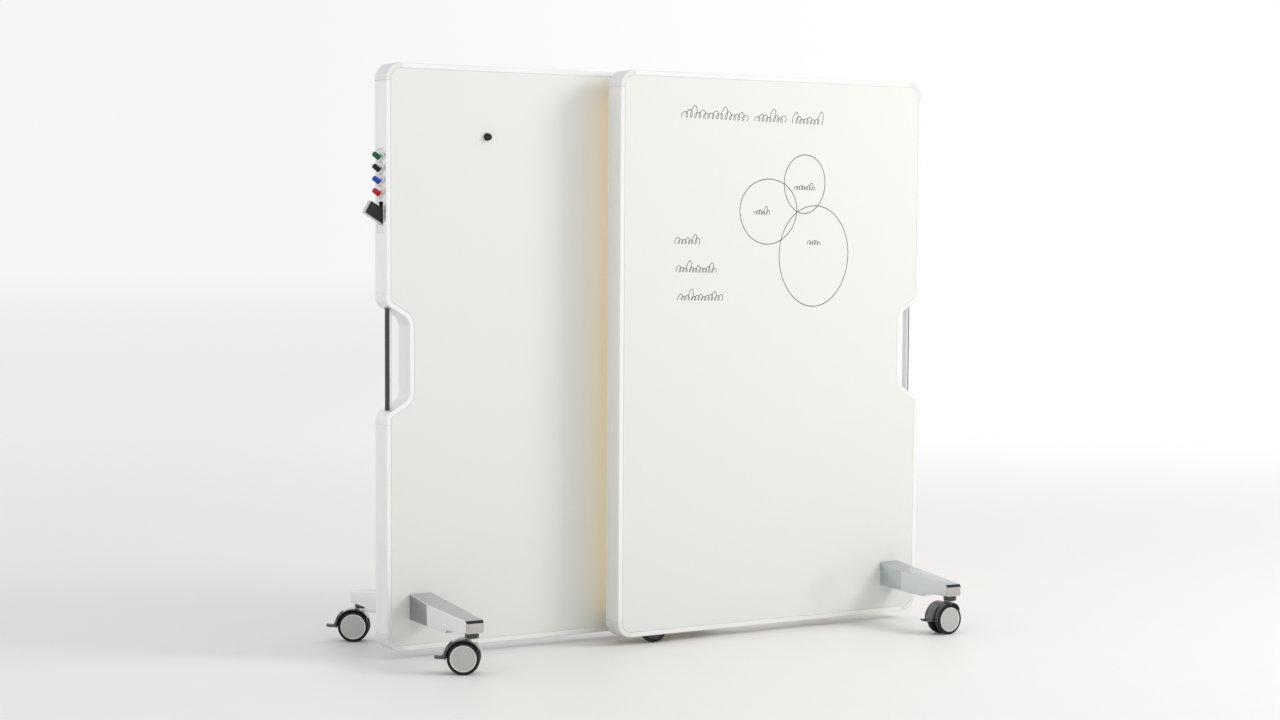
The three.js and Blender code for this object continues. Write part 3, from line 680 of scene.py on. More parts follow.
def bar_finish():
    """Satin aluminium of the grab bar."""
    return surface_finish(
        "bar_aluminium", (0.76, 0.76, 0.77), (0.24, 0.34), 0.95, grain=1300.0,
        stretch=(1.0, 1.0, 0.08), variation=0.04,
    )


def grip_finish():
    """Soft rubber grip."""
    shade = bpy.context.scene.board_finish.grip
    return surface_finish(
        "grip_rubber", shade, (0.48, 0.66), grain=1800.0, depth=0.0001, variation=0.12, bump=0.5,
    )


def hood_finish():
    """Gloss black plastic of the hoods and collars."""
    shade = bpy.context.scene.board_finish.hood
    return surface_finish(
        "hood_plastic", shade, (0.10, 0.22), grain=500.0, smear=22.0, variation=0.2,
        Coat_Weight=0.6, Coat_Roughness=0.06,
    )


def tyre_finish():
    """Polyurethane tread."""
    return surface_finish(
        "tyre_tread", (0.012, 0.011, 0.011), (0.30, 0.55), grain=1200.0, depth=0.00006,
        smear=40.0, variation=0.25, bump=0.4, Specular_IOR_Level=0.25,
    )


def disc_finish():
    """Satin metal face of a wheel hub."""
    shade = bpy.context.scene.board_finish.disc
    return surface_finish(
        "hub_disc", shade, (0.36, 0.46), 0.35, grain=1400.0, smear=30.0, variation=0.06,
    )


def rim_finish():
    """Bright ring round a wheel hub."""
    return surface_finish(
        "hub_rim", (0.80, 0.79, 0.77), (0.14, 0.24), 1.0, grain=900.0, smear=30.0, variation=0.05,
    )


def pedal_finish():
    """Grey plastic of a brake pedal's arc."""
    shade = bpy.context.scene.board_finish.pedal
    return surface_finish(
        "pedal_plastic", shade, (0.18, 0.30), grain=700.0, smear=30.0, variation=0.1,
        Coat_Weight=0.4, Coat_Roughness=0.1,
    )


def toe_finish():
    """Black rubbed plastic of a brake pedal's toe."""
    return surface_finish(
        "pedal_toe", (0.015, 0.015, 0.016), (0.30, 0.5), grain=900.0, depth=0.00005,
        smear=50.0, variation=0.3,
    )


def dock_finish():
    """White plastic of the marker dock."""
    shade = bpy.context.scene.board_finish.dock
    return surface_finish(
        "dock_plastic", shade, (0.22, 0.34), grain=800.0, smear=18.0, variation=0.02,
    )


def cap_finish(tone):
    """Coloured plastic of a marker's cap."""
    shade = getattr(bpy.context.scene.board_finish, tone)
    return surface_finish(
        f"cap_{tone}", shade, (0.22, 0.34), grain=900.0, smear=60.0, variation=0.08,
        Specular_IOR_Level=0.22,
    )


def barrel_finish():
    """White plastic of a marker's barrel."""
    return surface_finish(
        "marker_barrel", (0.80, 0.80, 0.79), (0.24, 0.36), grain=900.0, smear=50.0, variation=0.03,
    )


def eraser_finish():
    """Silver-grey plastic of the eraser's shell."""
    return surface_finish(
        "eraser_shell", (0.66, 0.655, 0.665), (0.24, 0.36), 0.25, grain=900.0, smear=40.0,
        variation=0.04,
    )


def magnet_finish():
    """Black plastic of the round magnet."""
    return surface_finish(
        "magnet_plastic", (0.010, 0.010, 0.010), (0.22, 0.38), grain=900.0, smear=70.0,
        variation=0.25, Specular_IOR_Level=0.3,
    )


def guide_finish():
    """Mill-finish aluminium of the guide rails."""
    return surface_finish(
        "guide_aluminium", (0.50, 0.51, 0.52), (0.30, 0.44), 0.95, grain=1200.0,
        stretch=(0.06, 1.0, 1.0), smear=8.0, variation=0.08,
    )


def shoe_and_pocket_shade_finish():
    """Dark self-lubricating plastic of the guide shoes, also used as painted shade on the walls of
    the eraser's pocket.
    """
    return surface_finish(
        "shoe_plastic", (0.018, 0.018, 0.020), (0.42, 0.58), grain=900.0, smear=30.0, variation=0.2,
    )


def ink_finish():
    """Dry-erase ink, slightly uneven."""
    shade = bpy.context.scene.board_finish.ink
    return surface_finish(
        "dry_ink", shade, (0.55, 0.75), grain=400.0, smear=90.0, variation=0.55, bump=0.1,
    )


# ---------------------------------------------------------------- mesh helpers
def add_piece(name, mesh_data, finishes, body, nodes=(), place=None, sharp=None):
    """Turns a bmesh into a finished piece that rides on a body and stands for nodes."""
    bmesh.ops.remove_doubles(mesh_data, verts=mesh_data.verts, dist=1e-7)
    if place is not None:
        mesh_data.transform(place)
    bmesh.ops.recalc_face_normals(mesh_data, faces=mesh_data.faces)
    mesh = bpy.data.meshes.new(name)
    mesh_data.to_mesh(mesh)
    mesh_data.free()
    mesh.shade_smooth()
    mesh.set_sharp_from_angle(angle=math.radians(sharp or SMOOTH_ANGLE))
    for finish in finishes:
        mesh.materials.append(finish)
    piece = bpy.data.objects.new(name, mesh)
    bpy.context.scene.collection.objects.link(piece)
    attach(piece, body)
    if nodes:
        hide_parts(*nodes)
    return piece


def loop_of(mesh_data, points):
    """Adds a ring of vertices."""
    return [mesh_data.verts.new(point) for point in points]


def bridge(mesh_data, first, second):
    """Quads between two rings of the same length."""
    count = len(first)
    for i in range(count):
        j = (i + 1) % count
        mesh_data.faces.new((first[i], first[j], second[j], second[i]))


def loft(mesh_data, rings):
    """A closed body through rings of points, capped at both ends."""
    loops = [loop_of(mesh_data, ring) for ring in rings]
    for first, second in zip(loops, loops[1:]):
        bridge(mesh_data, first, second)
    mesh_data.faces.new(loops[0])
    mesh_data.faces.new(loops[-1])


def polar_arc(radius, start, end, steps):
    """Points (x, z) of an arc about the origin; angles in degrees."""
    turns = [math.radians(start + (end - start) * step / steps) for step in range(steps + 1)]
    return [(radius * math.cos(turn), radius * math.sin(turn)) for turn in turns]


def turned(mesh_data, profile, sides, indices=None):
    """Turns a profile of (radius, height) that starts and ends on the Y axis about it."""
    columns = polar_arc(1.0, 0.0, 360.0, sides)[:-1]
    loops = []
    for radius, height in profile:
        if radius < 1e-6:
            loops.append([mesh_data.verts.new((0.0, height, 0.0))])
        else:
            loops.append(loop_of(mesh_data, [(radius * c, height, radius * s) for c, s in columns]))
    for row, (first, second) in enumerate(zip(loops, loops[1:])):
        index = indices[row] if indices else 0
        for i in range(sides):
            j = (i + 1) % sides
            corners = []
            for ring, at in ((first, i), (first, j), (second, j), (second, i)):
                vertex = ring[at] if len(ring) > 1 else ring[0]
                if vertex not in corners:
                    corners.append(vertex)
            if len(corners) > 2:
                mesh_data.faces.new(corners).material_index = index


def rounded_rectangle(half_width, half_height, radius, steps=4):
    """Points of a rounded rectangle about the origin, counter-clockwise."""
    points = []
    for quarter in range(4):
        sx = 1 if quarter in (0, 3) else -1
        sy = 1 if quarter in (0, 1) else -1
        centre = (sx * (half_width - radius), sy * (half_height - radius))
        for step in range(steps + 1):
            turn = (quarter + step / steps) * math.pi / 2
            points.append(
                (centre[0] + radius * math.cos(turn), centre[1] + radius * math.sin(turn))
            )
    return points


def block(mesh_data, low, high, radius, place=None):
    """A box with rounded edges, lofted along Y with eased ends."""
    half_width = (high[0] - low[0]) / 2
    half_height = (high[2] - low[2]) / 2
    middle = ((low[0] + high[0]) / 2, (low[2] + high[2]) / 2)
    rings = []
    ease = radius * (1 - math.cos(math.pi / 4))
    for depth, shrink in (
        (low[1], radius),
        (low[1] + ease, ease),
        (low[1] + radius, 0.0),
        (high[1] - radius, 0.0),
        (high[1] - ease, ease),
        (high[1], radius),
    ):
        section = rounded_rectangle(
            half_width - shrink, half_height - shrink, max(radius - shrink, radius * 0.2)
        )
        rings.append([Vector((x + middle[0], depth, z + middle[1])) for x, z in section])
    if place is not None:
        rings = [[place @ point for point in ring] for ring in rings]
    loft(mesh_data, rings)


def rod(mesh_data, start, end, radius, sides=40):
    """A plain cylinder between two points."""
    along = Vector(end) - Vector(start)
    turn = along.to_track_quat("Y", "Z").to_matrix().to_4x4()
    place = Matrix.Translation(start) @ turn
    circle = polar_arc(radius, 0.0, 360.0, sides)[:-1]
    loft(mesh_data, [[place @ Vector((x, y, z)) for x, z in circle] for y in (0.0, along.length)])


def combine(base, cutters, operation="DIFFERENCE"):
    """Cuts or joins closed bodies exactly and returns the result as a bmesh."""
    def as_object(data):
        bmesh.ops.recalc_face_normals(data, faces=data.faces)
        mesh = bpy.data.meshes.new("working")
        data.to_mesh(mesh)
        data.free()
        made = bpy.data.objects.new("working", mesh)
        bpy.context.scene.collection.objects.link(made)
        return made

    target = as_object(base)
    helpers = [as_object(cutter) for cutter in cutters]
    for helper in helpers:
        step = target.modifiers.new("step", "BOOLEAN")
        step.operation = operation
        step.solver = "EXACT"
        step.object = helper
    graph = bpy.context.evaluated_depsgraph_get()
    shaped = bpy.data.meshes.new_from_object(target.evaluated_get(graph))
    result = bmesh.new()
    result.from_mesh(shaped)
    bpy.data.meshes.remove(shaped)
    for made in (target, *helpers):
        mesh = made.data
        bpy.data.objects.remove(made)
        bpy.data.meshes.remove(mesh)
    return result


# ---------------------------------------------------------------- panel outline
def panel_place(prefix):
    """Where a panel stands: its own outer side faces -X before it is placed."""
    low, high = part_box(f"{prefix}_frame_inner_side")
    half = bpy.context.scene.board_frame.width / 2
    middle = (low[1] + high[1]) / 2
    if prefix == "rear":
        return Matrix.Translation((high[0] - half, middle, 0.0))
    return Matrix.Translation((low[0] + half, middle, 0.0)) @ Matrix.Rotation(math.pi, 4, "Z")


def arc(centre, radius, start, end, steps, hollow=False):
    """Stations (x, z, outward x, outward z) along an arc; angles in radians."""
    side = -1.0 if hollow else 1.0
    stations = []
    for step in range(steps + 1):
        turn = start + (end - start) * step / steps
        ux, uz = math.cos(turn), math.sin(turn)
        stations.append((centre[0] + radius * ux, centre[1] + radius * uz, side * ux, side * uz))
    return stations


def notch_stations(sizes):
    """The handle notch from its upper mouth to its lower mouth."""
    outer_x = -sizes.width / 2
    middle = sizes.clearance + sizes.height / 2
    slant = sizes.notch_slant
    steps = sizes.arc_steps
    radii = sizes.notch_outer + sizes.notch_inner
    upper = (outer_x + sizes.notch_outer, middle + sizes.notch_half)
    run = (sizes.notch_depth - radii * (1 - math.cos(slant))) / math.sin(slant)
    inner = (
        outer_x + sizes.notch_depth - sizes.notch_inner,
        upper[1] - radii * math.sin(slant) - run * math.cos(slant),
    )
    lower = (upper[0], 2 * middle - upper[1])
    lower_inner = (inner[0], 2 * middle - inner[1])
    half_turn = math.pi
    return (
        arc(upper, sizes.notch_outer, half_turn, half_turn + slant, steps)
        + arc(inner, sizes.notch_inner, slant, 0.0, steps, hollow=True)
        + arc(lower_inner, sizes.notch_inner, 0.0, -slant, steps, hollow=True)
        + arc(lower, sizes.notch_outer, half_turn - slant, half_turn, steps)
    )


def corner_arc(sizes, side_x, side_z):
    """One corner's arc, going anticlockwise as seen from the front."""
    centre = (
        side_x * (sizes.width / 2 - sizes.corner_radius),
        sizes.clearance
        + sizes.height / 2
        + side_z * (sizes.height / 2 - sizes.corner_radius),
    )
    quarter = math.pi / 2
    start = {(-1, -1): 2, (1, -1): 3, (1, 1): 0, (-1, 1): 1}[(side_x, side_z)] * quarter
    return arc(centre, sizes.corner_radius, start, start + quarter, sizes.arc_steps)


def outline_stations(sizes):
    """The whole outline of a panel, anticlockwise as seen from the front."""
    return (
        corner_arc(sizes, -1, -1)
        + corner_arc(sizes, 1, -1)
        + corner_arc(sizes, 1, 1)
        + corner_arc(sizes, -1, 1)
        + notch_stations(sizes)
    )


def outline_points(sizes, inset):
    """The outline drawn inside itself, as (x, z)."""
    return [(x - inset * nx, z - inset * nz) for x, z, nx, nz in outline_stations(sizes)]


def frame_section(sizes, ease=0.0):
    """The rail's section going round, as (inset, y)."""
    half = sizes.depth / 2
    radius = sizes.edge_round
    steps = 5
    inner_ease = 0.8 * MM
    core = half - sizes.glass - JOINT_GAP
    upper = []
    for step in range(steps + 1):
        turn = step / steps * math.pi / 2
        inset = radius - radius * math.cos(turn)
        upper.append((inset, half - radius + radius * math.sin(turn)))
    upper.append((sizes.lip - inner_ease, half))
    upper.append((sizes.lip, half - inner_ease))
    upper.append((sizes.lip, core))
    upper.append((sizes.lip + sizes.ledge, core))
    lower = [(inset, -y) for inset, y in reversed(upper)]
    bound = half - ease
    return [(max(inset, ease), max(-bound, min(bound, y))) for inset, y in upper + lower]


def sweep_frame(sizes, stations):
    """A frame piece swept along stations, with its two cut ends eased."""
    def towards(start, end, distance):
        step = Vector((end[0] - start[0], end[1] - start[1])).normalized() * distance
        return (start[0] + step.x, start[1] + step.y, start[2], start[3])

    first, last = stations[0], stations[-1]
    along = [
        (first, SOFT_END),
        (towards(first, stations[1], SOFT_END), 0.0),
        *[(station, 0.0) for station in stations[1:-1]],
        (towards(last, stations[-2], SOFT_END), 0.0),
        (last, SOFT_END),
    ]
    mesh_data = bmesh.new()
    rings = []
    for (x, z, nx, nz), ease in along:
        section = frame_section(sizes, ease)
        rings.append([(x - inset * nx, y, z - inset * nz) for inset, y in section])
    loft(mesh_data, rings)
    return mesh_data


def frame_paths(sizes):
    """Where each frame piece runs, as stations, in a panel's own place."""
    half = sizes.width / 2
    low = sizes.clearance
    high = sizes.clearance + sizes.height
    middle = (low + high) / 2
    gap = JOINT_GAP / 2
    left = -half + sizes.corner_length
    right = half - sizes.corner_length
    bottom = low + sizes.corner_length
    top = high - sizes.corner_length
    cove_low = middle - sizes.cove_half
    cove_high = middle + sizes.cove_half
    paths = {
        "frame_bottom": [(left + gap, low, 0, -1), (right - gap, low, 0, -1)],
        "frame_inner_side": [(half, bottom + gap, 1, 0), (half, top - gap, 1, 0)],
        "frame_top": [(right - gap, high, 0, 1), (left + gap, high, 0, 1)],
        "frame_outer_side_upper": [(-half, top - gap, -1, 0), (-half, cove_high + gap, -1, 0)],
        "frame_outer_side_lower": [(-half, cove_low - gap, -1, 0), (-half, bottom + gap, -1, 0)],
        "handle_cove": [
            (-half, cove_high - gap, -1, 0),
            *notch_stations(sizes),
            (-half, cove_low + gap, -1, 0),
        ],
        "corner_bottom_outer": [
            (-half, bottom - gap, -1, 0),
            *corner_arc(sizes, -1, -1),
            (left - gap, low, 0, -1),
        ],
        "corner_bottom_inner": [
            (right + gap, low, 0, -1),
            *corner_arc(sizes, 1, -1),
            (half, bottom - gap, 1, 0),
        ],
        "corner_top_inner": [
            (half, top + gap, 1, 0),
            *corner_arc(sizes, 1, 1),
            (right + gap, high, 0, 1),
        ],
        "corner_top_outer": [
            (left - gap, high, 0, 1),
            *corner_arc(sizes, -1, 1),
            (-half, top + gap, -1, 0),
        ],
    }
    return paths


def box_cutter(low, high):
    """A plain closed box for cutting with."""
    data = bmesh.new()
    corners = [(low[0], low[2]), (high[0], low[2]), (high[0], high[2]), (low[0], high[2])]
    loft(data, [[(x, y, z) for x, z in corners] for y in (low[1], high[1])])
    return data


# ---------------------------------------------------------------- operators: panels
class BOARD_OT_frames(bpy.types.Operator):
    """Builds the rails, corners and notch castings of both frames"""

    bl_idname = "board.frames"
    bl_label = "Frames"

    def execute(self, context):
        sizes = context.scene.board_frame
        for prefix in PREFIXES:
            place = panel_place(prefix)
            for name, stations in frame_paths(sizes).items():
                data = sweep_frame(sizes, stations)
                cutters = self.cutters(prefix, name, place)
                if cutters:
                    data = combine(data, cutters)
                is_corner = name.startswith("corner")
                add_piece(
                    f"{prefix}_{name}_shell",
                    data,
                    [corner_finish() if is_corner else rail_finish()],
                    f"{prefix}_panel",
                    [f"{prefix}_{name}"],
                    place,
                )
        return {"FINISHED"}

    def cutters(self, prefix, name, place):
        """Closed bodies to take out of a frame piece, in the panel's own place."""
        back = place.inverted()
        if name == "frame_bottom":
            caster = bpy.context.scene.board_caster
            low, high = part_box(f"{prefix}_support_wheel")
            middle = back @ ((Vector(low) + Vector(high)) / 2)
            half_x = caster.radius + 4 * MM
            half_y = caster.support_half + 2 * MM
            above = 2 * caster.radius + 100 * MM
            pocket = box_cutter(
                (middle.x - half_x, -half_y, 0.0), (middle.x + half_x, half_y, above)
            )
            reach = caster.support_stub + MM
            axle = bmesh.new()
            ends = [(middle.x, y, middle.z) for y in (-reach, reach)]
            rod(axle, *ends, caster.axle_bore)
            return [pocket, axle]
        if prefix == "rear" and name == "frame_outer_side_upper":
            low, high = (back @ Vector(corner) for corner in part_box("marker_dock"))
            gap = JOINT_GAP
            outside = 10 * MM
            return [
                box_cutter(
                    (low.x - outside, low.y - gap, low.z - gap),
                    (high.x + gap, high.y + gap, high.z + gap),
                )
            ]
        return []


class BOARD_OT_glass(bpy.types.Operator):
    """Builds the four back-painted panes and dresses the core boards"""

    bl_idname = "board.glass"
    bl_label = "Glass"

    def execute(self, context):
        sizes = context.scene.board_frame
        shades = context.scene.board_finish
        white = glass_finish("writing_glass", tuple(shades.glass), tuple(shades.glass_low))
        amber_low = scaled(shades.amber, 0.96)
        # the amber pane's glow is painted light in place of light bounced between the panels
        amber = glass_finish("amber_back_glass", tuple(shades.amber), amber_low, glow=0.52)
        core = honeycomb_finish("honeycomb_core", (0.56, 0.53, 0.46))
        for prefix in PREFIXES:
            place = panel_place(prefix)
            turned_round = prefix == "front"
            for side in ("front", "back"):
                facing = -1.0 if (side == "front") != turned_round else 1.0
                is_amber = prefix == "front" and side == "back"
                add_piece(
                    f"{prefix}_pane_{side}",
                    self.pane(sizes, facing),
                    [amber if is_amber else white],
                    f"{prefix}_panel",
                    [f"{prefix}_glass_{side}"],
                    place,
                )
            dress_node(f"{prefix}_core_board", core)
        return {"FINISHED"}

    def pane(self, sizes, facing):
        """One pane with a ground edge and the hole for its leg's spigot."""
        half = sizes.depth / 2
        ground = 0.7 * MM
        inset = sizes.lip + JOINT_GAP
        hole_x = -sizes.width / 2 + sizes.leg_inset
        hole_shape = rounded_rectangle(sizes.hole_half_width, sizes.hole_half_height, 4 * MM)
        hole = [(x + hole_x, z + sizes.leg_level) for x, z in hole_shape]
        levels = (
            (inset + ground, half),
            (inset, half - ground),
            (inset, half - sizes.glass),
        )
        data = bmesh.new()
        outer = []
        inner = []
        for level_inset, depth in levels:
            y = facing * depth
            outer.append(
                loop_of(data, [(x, y, z) for x, z in outline_points(sizes, level_inset)])
            )
            inner.append(loop_of(data, [(x, y, z) for x, z in hole]))
        for rings in (outer, inner):
            for first, second in zip(rings, rings[1:]):
                bridge(data, first, second)
        for level in (0, -1):
            edges = []
            for ring in (outer[level], inner[level]):
                for pair in zip(ring, ring[1:] + ring[:1]):
                    edges.append(data.edges.get(pair))
            bmesh.ops.triangle_fill(data, use_beauty=True, use_dissolve=False, edges=edges)
        return data


def dress_node(node, *finishes):
    """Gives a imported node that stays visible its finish."""
    piece = frame["nodes"][node]
    piece.data.materials.clear()
    for finish in finishes:
        piece.data.materials.append(finish)


class BOARD_OT_handles(bpy.types.Operator):
    """Builds the grab bars and their soft grips"""

    bl_idname = "board.handles"
    bl_label = "Handles"

    def execute(self, context):
        sizes = context.scene.board_frame
        handle = context.scene.board_handle
        for prefix in PREFIXES:
            place = panel_place(prefix)
            for name, section, finish, slot in (
                ("handle_bar", self.bar_section(sizes, handle), bar_finish(), "bar_metal"),
                ("handle_grip", self.grip_section(sizes, handle), grip_finish(), "grip"),
            ):
                add_piece(
                    f"{prefix}_{name}_body",
                    self.upright(sizes, section),
                    [finish],
                    f"{prefix}_panel",
                    [f"{prefix}_{name}"],
                    place,
                )
        return {"FINISHED"}

    def bar_section(self, sizes, handle):
        """The bar's section seen from above, as (x, y)."""
        joint = -sizes.width / 2 + handle.inset + handle.grip + JOINT_GAP
        inside = -sizes.width / 2 + handle.inset + handle.depth
        half = handle.width / 2
        radius = handle.edge_round
        points = [(joint, half), (joint, -half)]
        for centre_y, start in ((-half + radius, -0.5), (half - radius, 0.0)):
            for step in range(7):
                turn = (start + step / 12) * math.pi
                points.append(
                    (inside - radius + radius * math.cos(turn), centre_y + radius * math.sin(turn))
                )
        return points

    def grip_section(self, sizes, handle):
        """The grip's section seen from above: half an oval with a flat back."""
        joint = -sizes.width / 2 + handle.inset + handle.grip
        half = handle.width / 2
        steps = 20
        return [
            (
                joint - handle.grip * math.sin(math.pi * step / steps),
                half * math.cos(math.pi * step / steps),
            )
            for step in range(steps + 1)
        ]

    def upright(self, sizes, section):
        """A column whose ends follow the slanted ends of the notch."""
        middle = sizes.clearance + sizes.height / 2
        start_x = -sizes.width / 2 + sizes.notch_outer * (1 - math.cos(sizes.notch_slant))
        reach = sizes.notch_half - sizes.notch_outer * math.sin(sizes.notch_slant)
        slope = math.tan(math.pi / 2 - sizes.notch_slant)
        clear = 2 * JOINT_GAP
        data = bmesh.new()
        rings = []
        for side in (-1.0, 1.0):
            rings.append(
                [
                    (x, y, middle + side * (reach - clear - slope * (x - start_x)))
                    for x, y in section
                ]
            )
        loft(data, rings)
        return data


# ---------------------------------------------------------------- operators: legs
class BOARD_OT_legs(bpy.types.Operator):
    """Builds the four outrigger legs with their dark bevelled tips"""

    bl_idname = "board.legs"
    bl_label = "Legs"

    def execute(self, context):
        for prefix in PREFIXES:
            for side in ("front", "back"):
                low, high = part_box(f"{prefix}_leg_{side}")
                middle_x = (low[0] + high[0]) / 2
                middle_y = panel_place(prefix).translation.y
                place = Matrix.Translation((middle_x, middle_y, 0.0))
                if side == "back":
                    place = place @ Matrix.Rotation(math.pi, 4, "Z")
                add_piece(
                    f"{prefix}_leg_{side}_casting",
                    self.casting(context),
                    [
                        # the front panel's darker legs, the upper faces and the sides at the glass
                        # are painted shade
                        leg_finish_shaded_per_panel(prefix),
                        band_finish(),
                        tip_finish(),
                        leg_top_painted_shade_finish(),
                        leg_root_painted_shade_finish(prefix),
                    ],
                    f"{prefix}_panel",
                    [f"{prefix}_leg_{side}"],
                    place,
                    sharp=24,
                )
        return {"FINISHED"}

    def casting(self, context):
        """A leg that reaches towards -Y from the panel's centre plane at y = 0."""
        leg = context.scene.board_leg
        half_depth = context.scene.board_frame.depth / 2
        # distance out, half width, bottom, top
        stations = [
            (half_depth + JOINT_GAP, leg.root_half, 0.1240, 0.2040),
            (0.1540, leg.kink_half - 0.0001, 0.1183, 0.1868),
            (0.1580, leg.kink_half, 0.1180, 0.1860),
            (0.1620, leg.kink_half - 0.0002, 0.1178, 0.1854),
            (0.2600, 0.0366, 0.1122, 0.1749),
            (0.2632, 0.0364, 0.1126, 0.1745),
            (0.2656, 0.0363, 0.1206, 0.1742),
            (0.2700, 0.0361, 0.1222, 0.1738),
            (0.3300, 0.0329, leg.tip_low, 0.1672),
            (leg.reach - leg.tip_length, leg.tip_half, leg.tip_low, leg.tip_high),
        ]
        data = bmesh.new()
        rings = [self.section(leg.edge_round, *station) for station in stations]
        loft(data, rings + self.tip_rings(leg))
        data.normal_update()
        self.paint(data, leg)
        spigot = bmesh.new()
        block(
            spigot,
            (-leg.spigot_half, -half_depth - 4 * MM, leg.spigot_low),
            (leg.spigot_half, -half_depth + 30 * MM, leg.spigot_high),
            1.5 * MM,
        )
        joined = combine(data, [spigot], "UNION")
        caster = context.scene.board_caster
        below = leg.tip_low - 35 * MM
        socket = bmesh.new()
        socket_ends = [(0, -leg.stem, z) for z in (below, caster.stem_top + 2 * MM)]
        rod(socket, *socket_ends, caster.stem + 0.5 * MM)
        return combine(joined, [socket])

    def section(self, radius, out, half, bottom, top):
        """A rounded section across the leg, as points."""
        middle = (bottom + top) / 2
        outline = rounded_rectangle(half, (top - bottom) / 2, radius, 5)
        return [(x, -out, middle + z) for x, z in outline]

    def tip_rings(self, leg):
        """Rings that round off the tip in plan and bevel its upper edge."""
        rings = []
        for out, half, lift, drop in (
            (0.0080, leg.tip_half - 0.0004, 0.0, 0.0013),
            (0.0055, leg.tip_half - 0.0012, 0.0, 0.0038),
            (0.0030, leg.tip_half - 0.0028, 0.0, 0.0063),
            (0.0014, leg.tip_half - 0.0052, 0.0, leg.band + 0.0006),
            (0.0004, leg.tip_half - 0.0090, 0.0005, leg.band + 0.0012),
            (0.0000, leg.tip_half - 0.0125, 0.0012, leg.band + 0.0018),
        ):
            bottom, top = leg.tip_low + lift, leg.tip_high - drop
            rings.append(self.section(leg.edge_round * 0.8, leg.reach - out, half, bottom, top))
        return rings

    def paint(self, data, leg):
        """Marks the tip's bevel and front, and the upper face and the sides at the root, which get
        painted shade.
        """
        band, tip, upper_face, root = 1, 2, 3, 4
        straight = 0.9
        tip_start = leg.reach - leg.tip_length + 0.5 * MM
        bevel_low = leg.tip_high - leg.band - 0.8 * MM
        front_start = leg.reach - 7.5 * MM
        front_low = leg.tip_low + 1.6 * MM
        for face in data.faces:
            middle = face.calc_center_median()
            if -middle.y < tip_start:
                if face.normal.z > straight:
                    # painted shade on the upper face
                    face.material_index = upper_face
                elif -middle.y < leg.kink and abs(face.normal.x) > straight:
                    # painted shade on the sides near the glass
                    face.material_index = root
            elif middle.z > bevel_low:
                face.material_index = band
            elif -middle.y > front_start and middle.z > front_low:
                face.material_index = tip


# ---------------------------------------------------------------- operators: casters
def caster_place(prefix):
    """The caster's own place: stem on Z and axle behind it, towards its own +X."""
    wheel_low, wheel_high = (Vector(c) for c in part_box(f"{prefix}_caster_wheels"))
    axle = (wheel_low + wheel_high) / 2
    joint = next(j for j in frame["joints"] if j["name"] == f"{prefix}_swivel_turn")
    stem = Vector(joint["pos_m"])
    heading = math.atan2(axle.y - stem.y, axle.x - stem.x)
    return Matrix.Translation((stem.x, stem.y, 0.0)) @ Matrix.Rotation(heading, 4, "Z")


def fender(data, caster, start, end, nose, radius, steps):
    """The hood: a shell round the axle that narrows into a nose; angles in degrees."""
    rings = []
    for step in range(steps + 1):
        degrees = start + (end - start) * step / steps
        turn = math.radians(degrees)
        taper = max(0.0, (degrees - nose) / (end - nose)) ** 2
        inner = caster.hood_inner
        outer = caster.hood_outer - caster.nose_drop * taper
        half_width = caster.hood_half - caster.nose_narrow * taper
        shrink = radius * 0.6 if step in (0, steps) else 0.0
        corner = min(radius, (outer - inner) * 0.45)
        outline = rounded_rectangle(
            half_width - shrink, (outer - inner) / 2 - shrink * 0.8, corner - shrink * 0.5, 4
        )
        middle = (inner + outer) / 2
        rings.append(
            [
                (
                    caster.trail + (middle + out) * math.cos(turn),
                    across,
                    caster.radius + (middle + out) * math.sin(turn),
                )
                for across, out in outline
            ]
        )
    loft(data, rings)


def plate(data, caster, outline, half_width, radius):
    """An outline round the axle, as (x, z), given thickness along Y with eased edges."""
    centre_x, centre_z = caster.trail, caster.radius
    count = len(outline)
    rings = []
    for depth, shrink in (
        (-half_width, radius),
        (-half_width + 0.3 * radius, 0.3 * radius),
        (-half_width + radius, 0.0),
        (half_width - radius, 0.0),
        (half_width - 0.3 * radius, 0.3 * radius),
        (half_width, radius),
    ):
        ring = []
        for i, (x, z) in enumerate(outline):
            before = Vector(outline[i - 1])
            after = Vector(outline[(i + 1) % count])
            tangent = (after - before).normalized()
            ring.append(
                (centre_x + x - tangent.y * shrink, depth, centre_z + z + tangent.x * shrink)
            )
        rings.append(ring)
    loft(data, rings)


